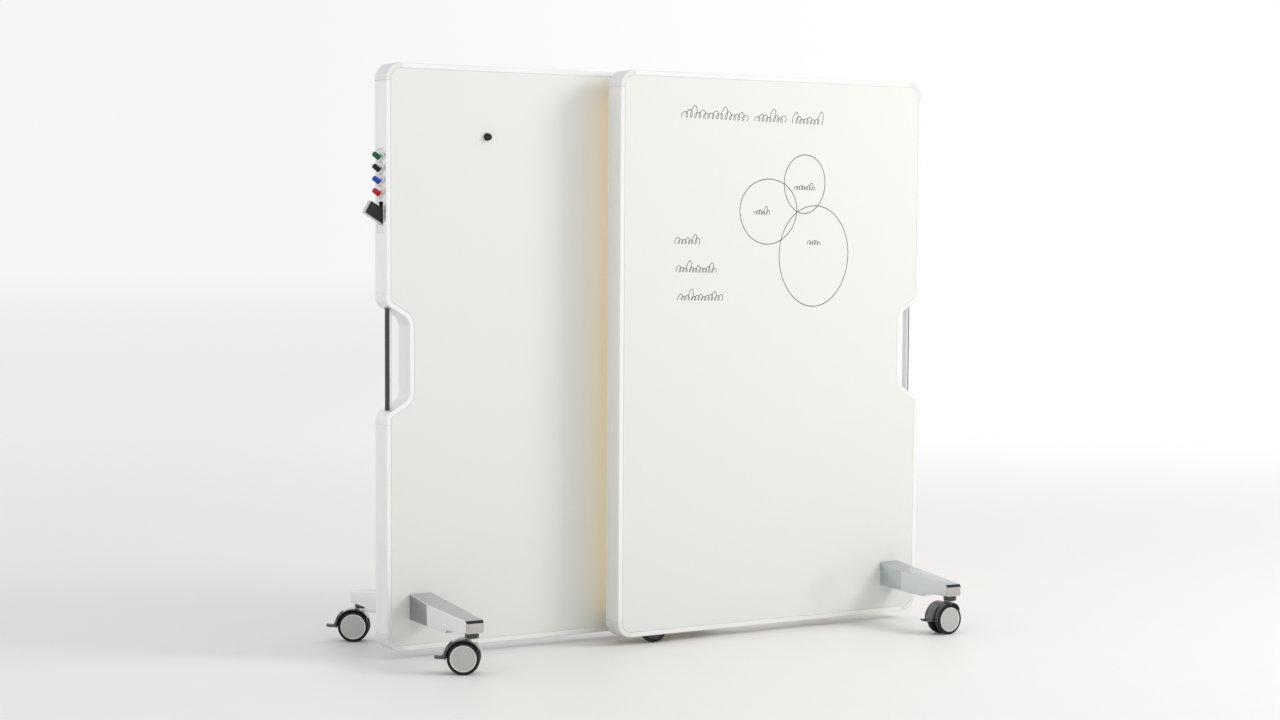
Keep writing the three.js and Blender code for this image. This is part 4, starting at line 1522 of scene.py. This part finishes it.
class BOARD_OT_casters(bpy.types.Operator):
    """Builds the twin-wheel casters: hoods, wheels, hub faces and brake pedals"""

    bl_idname = "board.casters"
    bl_label = "Casters"

    def execute(self, context):
        caster = context.scene.board_caster
        for prefix in CASTERS:
            place = caster_place(prefix)
            axle_place = place @ Matrix.Translation((caster.trail, 0.0, caster.radius))
            add_piece(
                f"{prefix}_hood",
                self.hood(caster),
                [hood_finish(), rim_finish()],
                f"{prefix}_swivel",
                [f"{prefix}_caster_body"],
                place,
            )
            add_piece(
                f"{prefix}_tyres",
                self.tyres(caster),
                [tyre_finish()],
                f"{prefix}_wheels",
                [f"{prefix}_caster_wheels"],
                axle_place,
            )
            add_piece(
                f"{prefix}_hubs",
                self.hubs(caster),
                [disc_finish(), rim_finish()],
                f"{prefix}_wheels",
                (),
                axle_place,
            )
            add_piece(
                f"{prefix}_pedal_lever",
                self.pedal(caster),
                [pedal_finish(), toe_finish()],
                f"{prefix}_pedal",
                [f"{prefix}_brake_pedal"],
                place,
            )
        return {"FINISHED"}

    def hood(self, caster):
        """Hood, middle web, collar and stem as one body."""
        web_half = caster.tread_inner - 2.5 * MM
        hood = bmesh.new()
        fender(hood, caster, start=-4, end=150, nose=112, radius=1.9 * MM, steps=44)
        web = bmesh.new()
        upper_edge = polar_arc(caster.web_outer, -2, 148, 44)
        lower_edge = polar_arc(caster.web_inner, 151, 355, 48)
        plate(web, caster, upper_edge + lower_edge, web_half, 1.2 * MM)
        collar = bmesh.new()
        top = caster.collar_top
        radius = caster.collar
        profile = [
            (0.0, caster.collar_low),
            (radius - 0.0050, caster.collar_low),
            (radius - 0.0050, 0.1066),
            (radius - 0.0022, 0.1070),
            (radius - 0.0018, 0.1076),
            (radius - 0.0018, 0.1088),
            (radius - 0.0030, 0.1092),
            (radius - 0.0012, 0.1094),
            (radius - 0.0003, 0.1102),
            (radius, 0.1114),
            (radius, top - 0.0030),
            (radius - 0.0008, top - 0.0010),
            (radius - 0.0028, top),
            (0.0, top),
        ]
        bright_rows = [0] + [1] * 5 + [0] * 7
        turned(collar, profile, 48, bright_rows)
        collar.transform(Matrix.Rotation(math.pi / 2, 4, "X"))
        stem = bmesh.new()
        stem_low = caster.collar_low + 12 * MM
        rod(stem, (0, 0, stem_low), (0, 0, caster.stem_top), caster.stem, 32)
        whole = combine(hood, [web, collar, stem], "UNION")
        reach = 60 * MM
        bore = bmesh.new()
        bore_ends = [(caster.trail, y, caster.radius) for y in (-reach, reach)]
        rod(bore, *bore_ends, caster.axle_bore)
        return combine(whole, [bore])

    def tyres(self, caster):
        """Two treads and the axle between them."""
        radius = caster.radius
        inner, outer = caster.tread_inner, caster.tread_outer
        recess = caster.disc + 0.0002
        side = [
            (0.006, inner),
            (0.036, inner),
            (0.0372, inner + 0.0008),
            (0.0384, inner),
            (radius - 0.0032, inner),
            (radius - 0.0012, inner + 0.0009),
            (radius - 0.0002, inner + 0.0028),
            (radius, inner + 0.0055),
            (radius, outer - 0.0062),
            (radius - 0.0005, outer - 0.0036),
            (radius - 0.0020, outer - 0.0015),
            (radius - 0.0045, outer - 0.0004),
            (radius - 0.0075, outer),
            (recess, outer - 0.0003),
            (recess, outer - 0.0042),
            (0.0, outer - 0.0042),
        ]
        mirrored = [(r, -y) for r, y in reversed(side)]
        data = bmesh.new()
        turned(data, mirrored + side, caster.sides)
        return data

    def hubs(self, caster):
        """Two metal hub faces, each with a bright ring round its edge."""
        edge, outer = caster.disc, caster.tread_outer
        back = outer - 0.0040
        profile = [
            (0.0, back),
            (edge, back),
            (edge, outer - 0.0008),
            (edge - 0.0006, outer - 0.0001),
            (edge - 0.0022, outer),
            (edge - 0.0030, outer - 0.0006),
            (edge - 0.0036, outer - 0.0013),
            (0.0300, outer - 0.0010),
            (0.0180, outer - 0.0006),
            (0.0, outer - 0.0004),
        ]
        rows = [0, 1, 1, 1, 1, 1, 0, 0, 0]
        data = bmesh.new()
        turned(data, profile, caster.sides, rows)
        turned(data, [(r, -y) for r, y in profile], caster.sides, rows)
        return data

    def pedal(self, caster):
        """The brake pedal: an arc over the wheel that sweeps out into a toe."""
        top_radius, top_turn = 60.1 * MM, math.radians(53)
        points = polar_arc(caster.pedal_outer, 13, 52.5, 24)
        points.append((top_radius * math.cos(top_turn), top_radius * math.sin(top_turn)))
        points += polar_arc(caster.pedal_inner, 52.4, -3.6, 28)
        points += [
            (0.0620, -0.0040),
            (0.0700, -0.0040),
            (0.0780, -0.0038),
            (0.0840, -0.0034),
            (0.0872, -0.0014),
            (0.0888, 0.0010),
            (0.0886, 0.0034),
            (0.0876, 0.0044),
            (0.0858, 0.0043),
            (0.0820, 0.0036),
            (0.0775, 0.0029),
            (0.0730, 0.0028),
            (0.0695, 0.0034),
            (0.0665, 0.0047),
            (0.0640, 0.0072),
            (0.0622, 0.0105),
        ]
        data = bmesh.new()
        plate(data, caster, points, caster.pedal_half, MM)
        toe_start = caster.trail + 65.5 * MM
        for face in data.faces:
            if face.calc_center_median().x > toe_start:
                face.material_index = 1
        return data


class BOARD_OT_support_wheels(bpy.types.Operator):
    """Builds the fixed wheel under each panel's inner end"""

    bl_idname = "board.support_wheels"
    bl_label = "Support wheels"

    def execute(self, context):
        caster = context.scene.board_caster
        for prefix in PREFIXES:
            low, high = (Vector(c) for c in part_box(f"{prefix}_support_wheel"))
            place = Matrix.Translation((low + high) / 2)
            add_piece(
                f"{prefix}_support_tyre",
                self.wheel(caster),
                [tyre_finish(), hood_finish()],
                f"{prefix}_support",
                [f"{prefix}_support_wheel"],
                place,
            )
        return {"FINISHED"}

    def wheel(self, caster):
        """A single wheel with a hub boss and axle stubs."""
        radius, half, stub = caster.radius, caster.support_half, caster.support_stub
        side = [
            (radius, 0.0070),
            (radius - 0.0006, 0.0094),
            (radius - 0.0024, 0.0112),
            (radius - 0.0052, half),
            (0.0400, half),
            (0.0390, half - 0.0012),
            (0.0140, half - 0.0012),
            (0.0130, half),
            (0.0060, half),
            (0.0060, stub - 0.0006),
            (0.0054, stub),
            (0.0, stub),
        ]
        rows_out = [0, 0, 0, 0, 0, 1, 1, 1, 1, 1, 1]
        mirrored = [(r, -y) for r, y in reversed(side)]
        data = bmesh.new()
        turned(data, mirrored + side, caster.sides, [*reversed(rows_out), 0, *rows_out])
        return data


# ---------------------------------------------------------------- operators: dock
def tilt_place(tilt, height):
    """A place on the rear panel's side whose own -X points outward and up by a tilt."""
    sizes = bpy.context.scene.board_frame
    side = Matrix.Translation((-sizes.width / 2, 0.0, height))
    return panel_place("rear") @ side @ Matrix.Rotation(tilt, 4, "Y")


class BOARD_OT_dock(bpy.types.Operator):
    """Builds the marker dock with its finger scoops and the eraser's slot"""

    bl_idname = "board.dock"
    bl_label = "Marker dock"

    def execute(self, context):
        dock = context.scene.board_dock
        low, high = (Vector(c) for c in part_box("marker_dock"))
        data = bmesh.new()
        block(data, low, high, 0.9 * MM)
        cutters = []
        for index in range(len(MARKERS)):
            height = dock.marker_top - index * dock.marker_pitch
            place = tilt_place(dock.marker_tilt, height)
            inward = dock.marker_length - dock.marker_out + MM
            bore_end = place @ Vector((inward, 0, 0))
            bore_radius = dock.marker_radius + 0.8 * MM
            bore = bmesh.new()
            rod(bore, place @ Vector((-60 * MM, 0, 0)), bore_end, bore_radius)
            scoop = bmesh.new()
            scoop_end = place @ Vector((dock.scoop_depth, 0, 0))
            rod(scoop, place @ Vector((-40 * MM, 0, 0)), scoop_end, dock.scoop_radius, 56)
            cutters += [bore, scoop]
        place = tilt_place(dock.eraser_tilt, dock.eraser_height)
        slot = bmesh.new()
        outward = 200 * MM
        inward = dock.eraser_length - dock.eraser_out + 0.5 * MM
        half = dock.eraser_width / 2 + dock.slot_air
        front, back = -dock.slot_front, dock.slot_back
        block(slot, (-outward, front, -half), (inward, back, half), 0.8 * MM, place)
        side_x = panel_place("rear").translation.x - context.scene.board_frame.width / 2
        middle_y = panel_place("rear").translation.y
        pocket = box_cutter(
            (side_x - 10 * MM, middle_y + front, dock.eraser_height),
            (side_x + dock.pocket_depth, middle_y + back, dock.pocket_top),
        )
        cutters += [slot, pocket]
        shaped = combine(data, cutters)
        self.paint_pocket_shade(shaped, dock, place, low, high)
        add_piece(
            "dock_block",
            shaped,
            # the dark second finish is painted shade on the walls of the eraser's pocket
            [dock_finish(), shoe_and_pocket_shade_finish()],
            "rear_panel",
            ["marker_dock"],
        )
        return {"FINISHED"}

    def paint_pocket_shade(self, data, dock, eraser_place, low, high):
        """Paints shade on the walls of the eraser's pocket, in the dark shoe plastic, but not on
        the lowest marker's slot.
        """
        lowest_marker = dock.marker_top - (len(MARKERS) - 1) * dock.marker_pitch
        to_marker = tilt_place(dock.marker_tilt, lowest_marker).inverted()
        to_eraser = eraser_place.inverted()
        clear = dock.marker_radius + 1.5 * MM
        half = dock.eraser_width / 2 + dock.slot_air
        upward = 75 * MM
        inward = dock.eraser_length - dock.eraser_out + 1.5 * MM
        for face in data.faces:
            middle = face.calc_center_median()
            if (to_marker @ middle).yz.length < clear:
                continue
            local = to_eraser @ middle
            within = low.y + MM < middle.y < high.y - MM and middle.x > low.x + 0.5 * MM
            beside = abs(local.y) < dock.slot_front + MM and -half < local.z < upward
            if within and beside and local.x < inward and middle.z < dock.pocket_top + MM:
                # painted shade inside the pocket
                face.material_index = 1


class BOARD_OT_markers(bpy.types.Operator):
    """Builds the four capped markers"""

    bl_idname = "board.markers"
    bl_label = "Markers"

    def execute(self, context):
        dock = context.scene.board_dock
        for index, tone in enumerate(MARKERS):
            height = dock.marker_top - index * dock.marker_pitch
            place = tilt_place(dock.marker_tilt, height)
            start = Matrix.Translation((-dock.marker_out, 0.0, 0.0))
            along = Matrix.Rotation(-math.pi / 2, 4, "Z")
            add_piece(
                f"marker_{tone}_body",
                self.marker(dock),
                [cap_finish(tone), barrel_finish()],
                f"{tone}_marker",
                [f"marker_{tone}"],
                place @ start @ along,
            )
        return {"FINISHED"}

    def marker(self, dock):
        """A marker along +Y from its cap's end, the cap fluted for grip."""
        radius, length_all, plug = dock.marker_radius, dock.marker_length, dock.marker_plug
        cap_start = length_all - 0.040
        profile = [
            (0.0, 0.0012),
            (0.0030, 0.0012),
            (0.0034, 0.0),
            (radius - 0.0030, 0.0),
            (radius - 0.0016, 0.0006),
            (radius - 0.0003, 0.0026),
            (radius, 0.0044),
            (radius, plug - 0.0050),
            (radius, plug - 0.0008),
            (radius - 0.0006, plug),
            (radius - 0.0009, plug + 0.0003),
            (radius - 0.0009, cap_start),
            (radius - 0.0006, cap_start + 0.0003),
            (radius - 0.0006, length_all - 0.0012),
            (radius - 0.0018, length_all),
            (0.0, length_all),
        ]
        rows = [0] * 10 + [1] + [0] * 4
        data = bmesh.new()
        turned(data, profile, 48, rows)
        flutes = 12
        flute_depth = 0.35 * MM
        for vertex in data.verts:
            if 3.5 * MM < vertex.co.y < plug - 4.5 * MM:
                turn = math.atan2(vertex.co.z, vertex.co.x)
                cut = flute_depth * (0.5 - 0.5 * math.cos(flutes * turn))
                factor = 1 - cut / radius
                vertex.co.x *= factor
                vertex.co.z *= factor
        return data


class BOARD_OT_eraser(bpy.types.Operator):
    """Builds the eraser's shell and its ribbed felt"""

    bl_idname = "board.eraser"
    bl_label = "Eraser"

    def execute(self, context):
        dock = context.scene.board_dock
        place = tilt_place(dock.eraser_tilt, dock.eraser_height)
        inward = dock.eraser_length - dock.eraser_out
        half = dock.eraser_width / 2
        shell = bmesh.new()
        shell_low = (-dock.eraser_out, -dock.eraser_side, -half)
        block(shell, shell_low, (inward, dock.eraser_back, half), 2.4 * MM, place)
        add_piece(
            "eraser_shell_body",
            shell,
            [eraser_finish()],
            "eraser",
            ["eraser_body"],
            sharp=40,
        )
        add_piece(
            "eraser_felt_pad",
            self.felt(dock, inward, half, place),
            [felt_finish("wool_felt", tuple(context.scene.board_finish.felt))],
            "eraser",
            ["eraser_felt"],
            sharp=60,
        )
        return {"FINISHED"}

    def felt(self, dock, inward, half, place):
        """Felt strips side by side across the eraser, with grooves between them."""
        start, end = -dock.eraser_out + 2.5 * MM, inward - 2 * MM
        high = half - 2.5 * MM
        groove = MM
        strips = 11
        across = 6
        data = bmesh.new()
        columns = []
        for strip in range(strips):
            left = start + (end - start) * strip / strips
            right = start + (end - start) * (strip + 1) / strips
            for part, depth in ((0.02, 1.0), (0.14, 0.2), (0.5, 0.0), (0.86, 0.2)):
                columns.append((left + (right - left) * part, depth * groove))
        columns.append((end, groove))
        front, back = -dock.felt_front, -dock.felt_back
        rings = []
        for x, depth in columns:
            ring = []
            for step in range(across + 1):
                z = -high + 2 * high * step / across
                edge = 0.8 * groove if step in (0, across) else 0.0
                ring.append(place @ Vector((x, front + depth + edge, z)))
            ring.append(place @ Vector((x, back, high)))
            ring.append(place @ Vector((x, back, -high)))
            rings.append(ring)
        loft(data, rings)
        return data


class BOARD_OT_magnet(bpy.types.Operator):
    """Builds the round magnet on the rear glass"""

    bl_idname = "board.magnet"
    bl_label = "Magnet"

    def execute(self, context):
        low, high = (Vector(c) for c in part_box("round_magnet"))
        place = Matrix.Translation(((low.x + high.x) / 2, high.y, (low.z + high.z) / 2))
        profile = [
            (0.0, 0.0),
            (0.0112, 0.0),
            (0.0119, -0.0006),
            (0.0120, -0.0026),
            (0.0112, -0.0038),
            (0.0092, -0.0048),
            (0.0083, -0.0060),
            (0.0081, -0.0078),
            (0.0088, -0.0094),
            (0.0101, -0.0108),
            (0.0105, -0.0122),
            (0.0099, -0.0137),
            (0.0080, -0.0144),
            (0.0, -0.0145),
        ]
        data = bmesh.new()
        turned(data, profile, 48)
        add_piece(
            "magnet_knob", data, [magnet_finish()], "magnet", ["round_magnet"], place
        )
        return {"FINISHED"}


class BOARD_OT_guides(bpy.types.Operator):
    """Dresses the guide rails and shoes between the panels"""

    bl_idname = "board.guides"
    bl_label = "Guides"

    def execute(self, context):
        for level in ("upper", "lower"):
            dress_node(f"guide_rail_{level}", guide_finish())
            dress_node(f"guide_shoe_{level}", shoe_and_pocket_shade_finish())
        return {"FINISHED"}


# ---------------------------------------------------------------- operators: ink
class BOARD_OT_ink(bpy.types.Operator):
    """Draws three overlapping loops and a few wavy strokes in dry ink"""

    bl_idname = "board.ink"
    bl_label = "Ink"

    def execute(self, context):
        low = Vector(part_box("front_glass_front")[0])
        sizes = context.scene.board_frame
        left = low.x - sizes.lip
        steps, start_turn = 96, 1.9
        data = bmesh.new()
        for centre, radii, tilt, wobble in (
            ((0.724, 1.481), (0.084, 0.096), 0.0, 0.010),
            ((0.577, 1.390), (0.115, 0.106), 0.3, 0.012),
            ((0.765, 1.245), (0.143, 0.166), -0.1, 0.008),
        ):
            points = []
            for step in range(steps + 1):
                turn = math.tau * step / steps + start_turn
                swell = 1 + wobble * math.sin(3 * turn + tilt) + wobble * math.sin(2 * turn)
                points.append(
                    (
                        left + centre[0] + radii[0] * swell * math.cos(turn),
                        centre[1] + radii[1] * swell * math.sin(turn),
                    )
                )
            self.stroke(data, points, low.y, 1.3 * MM)
        for start, end, base, tall in (
            (0.232, 0.487, 1.686, 0.027),
            (0.520, 0.640, 1.682, 0.025),
            (0.672, 0.790, 1.679, 0.024),
            (0.209, 0.300, 1.284, 0.021),
            (0.215, 0.366, 1.194, 0.021),
            (0.222, 0.392, 1.104, 0.021),
            (0.682, 0.764, 1.462, 0.016),
            (0.520, 0.578, 1.380, 0.016),
            (0.738, 0.788, 1.282, 0.016),
        ):
            points = self.scribble(left, start, end, base, tall)
            self.stroke(data, points, low.y, 1.1 * MM)
        add_piece("ink_drawing", data, [ink_finish()], "front_panel")
        return {"FINISHED"}

    def scribble(self, left, start, end, base, tall):
        """A row of loops of uneven height with no letters in them."""
        pitch = 0.62 * tall
        turns = round((end - start) / pitch)
        steps = 18
        offset = round(start / MM)
        points = []
        for step in range(turns * steps + 1):
            loop = step // steps
            turn = math.tau * (step % steps) / steps
            reach = 0.75 + 0.2 * math.sin(2.1 * loop + offset)
            reach += 0.8 if (loop * 3 + offset) % 7 == 0 else 0.0
            along = (end - start) * step / (turns * steps)
            points.append(
                (
                    left + start + along - 0.42 * pitch * math.sin(turn)
                    + 0.22 * tall * reach * (0.5 - 0.5 * math.cos(turn)),
                    base - 0.02 * along + tall * reach * (0.5 - 0.5 * math.cos(turn)),
                )
            )
        return points

    def stroke(self, data, points, face_y, half_width):
        """A thin raised ribbon along points on the glass."""
        rings = []
        front, back = face_y - 0.16 * MM, face_y - 0.02 * MM
        for i, point in enumerate(points):
            before = Vector(points[max(i - 1, 0)])
            after = Vector(points[min(i + 1, len(points) - 1)])
            tangent = (after - before).normalized()
            normal = Vector((-tangent.y, tangent.x)) * half_width
            x, z = point
            rings.append(
                [
                    (x + normal.x, back, z + normal.y),
                    (x + normal.x * 0.7, front, z + normal.y * 0.7),
                    (x - normal.x * 0.7, front, z - normal.y * 0.7),
                    (x - normal.x, back, z - normal.y),
                ]
            )
        loft(data, rings)


# ---------------------------------------------------------------- operator: stage
class BOARD_OT_stage(bpy.types.Operator):
    """Sets the pale floor, the soft lights and the camera"""

    bl_idname = "board.stage"
    bl_label = "Stage"

    def execute(self, context):
        stage = context.scene.board_stage
        self.floor(stage)
        self.world(stage)
        self.lights(stage)
        self.camera(stage)
        context.scene.view_settings.view_transform = "Standard"
        return {"FINISHED"}

    def floor(self, stage):
        """A wide disc that melts into the backdrop far away."""
        data = bmesh.new()
        rings = []
        for radius in (3.0, 8.0, 20.0, 60.0):
            circle = polar_arc(radius, 0.0, 360.0, 96)[:-1]
            rings.append(loop_of(data, [(x, y, 0.0) for x, y in circle]))
        centre, first = data.verts.new((0.0, 0.0, 0.0)), rings[0]
        for pair in zip(first, first[1:] + first[:1]):
            data.faces.new((centre, *pair))
        for inner, outer in zip(rings, rings[1:]):
            bridge(data, inner, outer)
        bmesh.ops.recalc_face_normals(data, faces=data.faces)
        mesh = bpy.data.meshes.new("studio_floor")
        data.to_mesh(mesh)
        data.free()
        mesh.materials.append(self.floor_material(stage))
        floor = bpy.data.objects.new("studio_floor", mesh)
        bpy.context.scene.collection.objects.link(floor)

    def floor_material(self, stage):
        """Matt pale floor that fades into the light of the backdrop with distance."""
        finish = Finish("floor_paint")
        tree = finish.tree
        fine = finish.group(grain_group(), Scale=300.0)
        tint = finish.mix(
            fine.outputs["Tint"], scaled(stage.floor, 0.99), scaled(stage.floor, 1.01)
        )
        finish.link(tint, "Base Color")
        finish.bump(fine.outputs["Height"], 0.05, 0.0002)
        finish.fixed(Roughness=0.5)
        glow = tree.nodes.new("ShaderNodeEmission")
        glow.inputs["Color"].default_value = (*stage.backdrop, 1.0)
        reach = tree.nodes.new("ShaderNodeVectorMath")
        reach.operation = "LENGTH"
        tree.links.new(finish.place, reach.inputs[0])
        distance = reach.outputs["Value"]
        far_level = map_range(tree, distance, (14.0, 60.0), (stage.dim_near, stage.dim_far))
        across = self.across(tree, finish.place, stage)
        side = map_range(tree, across, (-3.0, 1.5), (0.0, 1.0), smooth=True)
        level = tree.nodes.new("ShaderNodeMix")
        tree.links.new(side, level.inputs["Factor"])
        tree.links.new(far_level, level.inputs["A"])
        level.inputs["B"].default_value = 1.0
        tree.links.new(level.outputs["Result"], glow.inputs["Strength"])
        both = tree.nodes.new("ShaderNodeMixShader")
        fade = map_range(tree, distance, (1.2, 9.0), (0.0, 1.0), smooth=True)
        tree.links.new(fade, both.inputs["Fac"])
        tree.links.new(finish.shader.outputs["BSDF"], both.inputs[1])
        tree.links.new(glow.outputs["Emission"], both.inputs[2])
        output = tree.nodes["Material Output"]
        tree.links.new(both.outputs["Shader"], output.inputs["Surface"])
        return finish.material

    def across(self, tree, place, stage):
        """How far a point or direction lies to the right of the stage's main line."""
        dot = tree.nodes.new("ShaderNodeVectorMath")
        dot.operation = "DOT_PRODUCT"
        tree.links.new(place, dot.inputs[0])
        dot.inputs[1].default_value = (math.cos(stage.azimuth), math.sin(stage.azimuth), 0.0)
        return dot.outputs["Value"]

    def world(self, stage):
        """Even light all round, dimmer on the left and overhead."""
        world = bpy.data.worlds.new("studio_light")
        world.use_nodes = True
        tree = world.node_tree
        background = tree.nodes["Background"]
        place = tree.nodes.new("ShaderNodeTexCoord").outputs["Generated"]
        split = tree.nodes.new("ShaderNodeSeparateXYZ")
        tree.links.new(place, split.inputs[0])
        across = self.across(tree, place, stage)
        side = map_range(tree, across, (-0.16, 0.10), (stage.dim_far, 1.0), smooth=True)
        overhead = map_range(tree, split.outputs["Z"], (0.15, 0.9), (1.0, stage.fill))
        strength = math_node(tree, "MULTIPLY", side, overhead)
        tree.links.new(strength, background.inputs["Strength"])
        background.inputs["Color"].default_value = (*stage.backdrop, 1.0)
        bpy.context.scene.world = world

    def lights(self, stage):
        """One large soft key light from the right."""
        lamp = bpy.data.lights.new("key_light", "AREA")
        lamp.shape = "RECTANGLE"
        lamp.size = lamp.size_y = 2.6
        lamp.energy = stage.key
        lamp.color = (1.0, 0.985, 0.96)
        key = bpy.data.objects.new("key_light", lamp)
        key.location = (4.6, -4.4, 4.2)
        key.visible_glossy = False
        aim = Vector((0.0, 0.0, 0.8)) - key.location
        key.rotation_euler = aim.to_track_quat("-Z", "Y").to_euler()
        bpy.context.scene.collection.objects.link(key)

    def camera(self, stage):
        """A camera at eye level, off to the left."""
        data = bpy.data.cameras.new("camera")
        data.sensor_width = 36.0
        data.lens = stage.lens
        data.shift_y = stage.shift
        camera = bpy.data.objects.new("camera", data)
        az, pitch, roll = stage.azimuth, stage.pitch, stage.roll
        forward = Vector(
            (-math.sin(az) * math.cos(pitch), math.cos(az) * math.cos(pitch), math.sin(pitch))
        )
        right = Vector((math.cos(az), math.sin(az), 0.0))
        up = right.cross(forward)
        rolled_right = math.cos(roll) * right + math.sin(roll) * up
        rolled_up = -math.sin(roll) * right + math.cos(roll) * up
        turn = Matrix((rolled_right, rolled_up, -forward)).transposed().to_4x4()
        camera.matrix_world = Matrix.Translation(stage.position) @ turn
        bpy.context.scene.collection.objects.link(camera)
        bpy.context.scene.camera = camera


# ---------------------------------------------------------------- panel and register
OPERATORS = (
    BOARD_OT_stage,
    BOARD_OT_frames,
    BOARD_OT_glass,
    BOARD_OT_handles,
    BOARD_OT_legs,
    BOARD_OT_casters,
    BOARD_OT_support_wheels,
    BOARD_OT_dock,
    BOARD_OT_markers,
    BOARD_OT_eraser,
    BOARD_OT_magnet,
    BOARD_OT_guides,
    BOARD_OT_ink,
)


class BOARD_PT_sidebar(bpy.types.Panel):
    """Sizes, colours and build buttons in the sidebar"""

    bl_idname = "BOARD_PT_sidebar"
    bl_label = "Rolling Glass Whiteboard"
    bl_space_type = "VIEW_3D"
    bl_region_type = "UI"
    bl_category = "Whiteboard"

    def draw(self, context):
        layout = self.layout
        for operator in OPERATORS:
            layout.operator(operator.bl_idname)
        for name in SETTINGS:
            settings = getattr(context.scene, name)
            box = layout.box()
            box.label(text=settings.bl_rna.description)
            for key in settings.__annotations__:
                box.prop(settings, key)


CLASSES = (*SETTINGS.values(), *OPERATORS, BOARD_PT_sidebar)


def register():
    """Registers the classes and hangs the settings on the scene."""
    for cls in CLASSES:
        bpy.utils.register_class(cls)
    for name, cls in SETTINGS.items():
        setattr(bpy.types.Scene, name, PointerProperty(type=cls))


def unregister():
    """Takes the settings and the classes away again."""
    for name in SETTINGS:
        delattr(bpy.types.Scene, name)
    for cls in reversed(CLASSES):
        bpy.utils.unregister_class(cls)


def main():
    """Builds everything."""
    register()
    for operator in OPERATORS:
        group, name = operator.bl_idname.split(".")
        getattr(getattr(bpy.ops, group), name)()


if __name__ == "__main__":
    main()
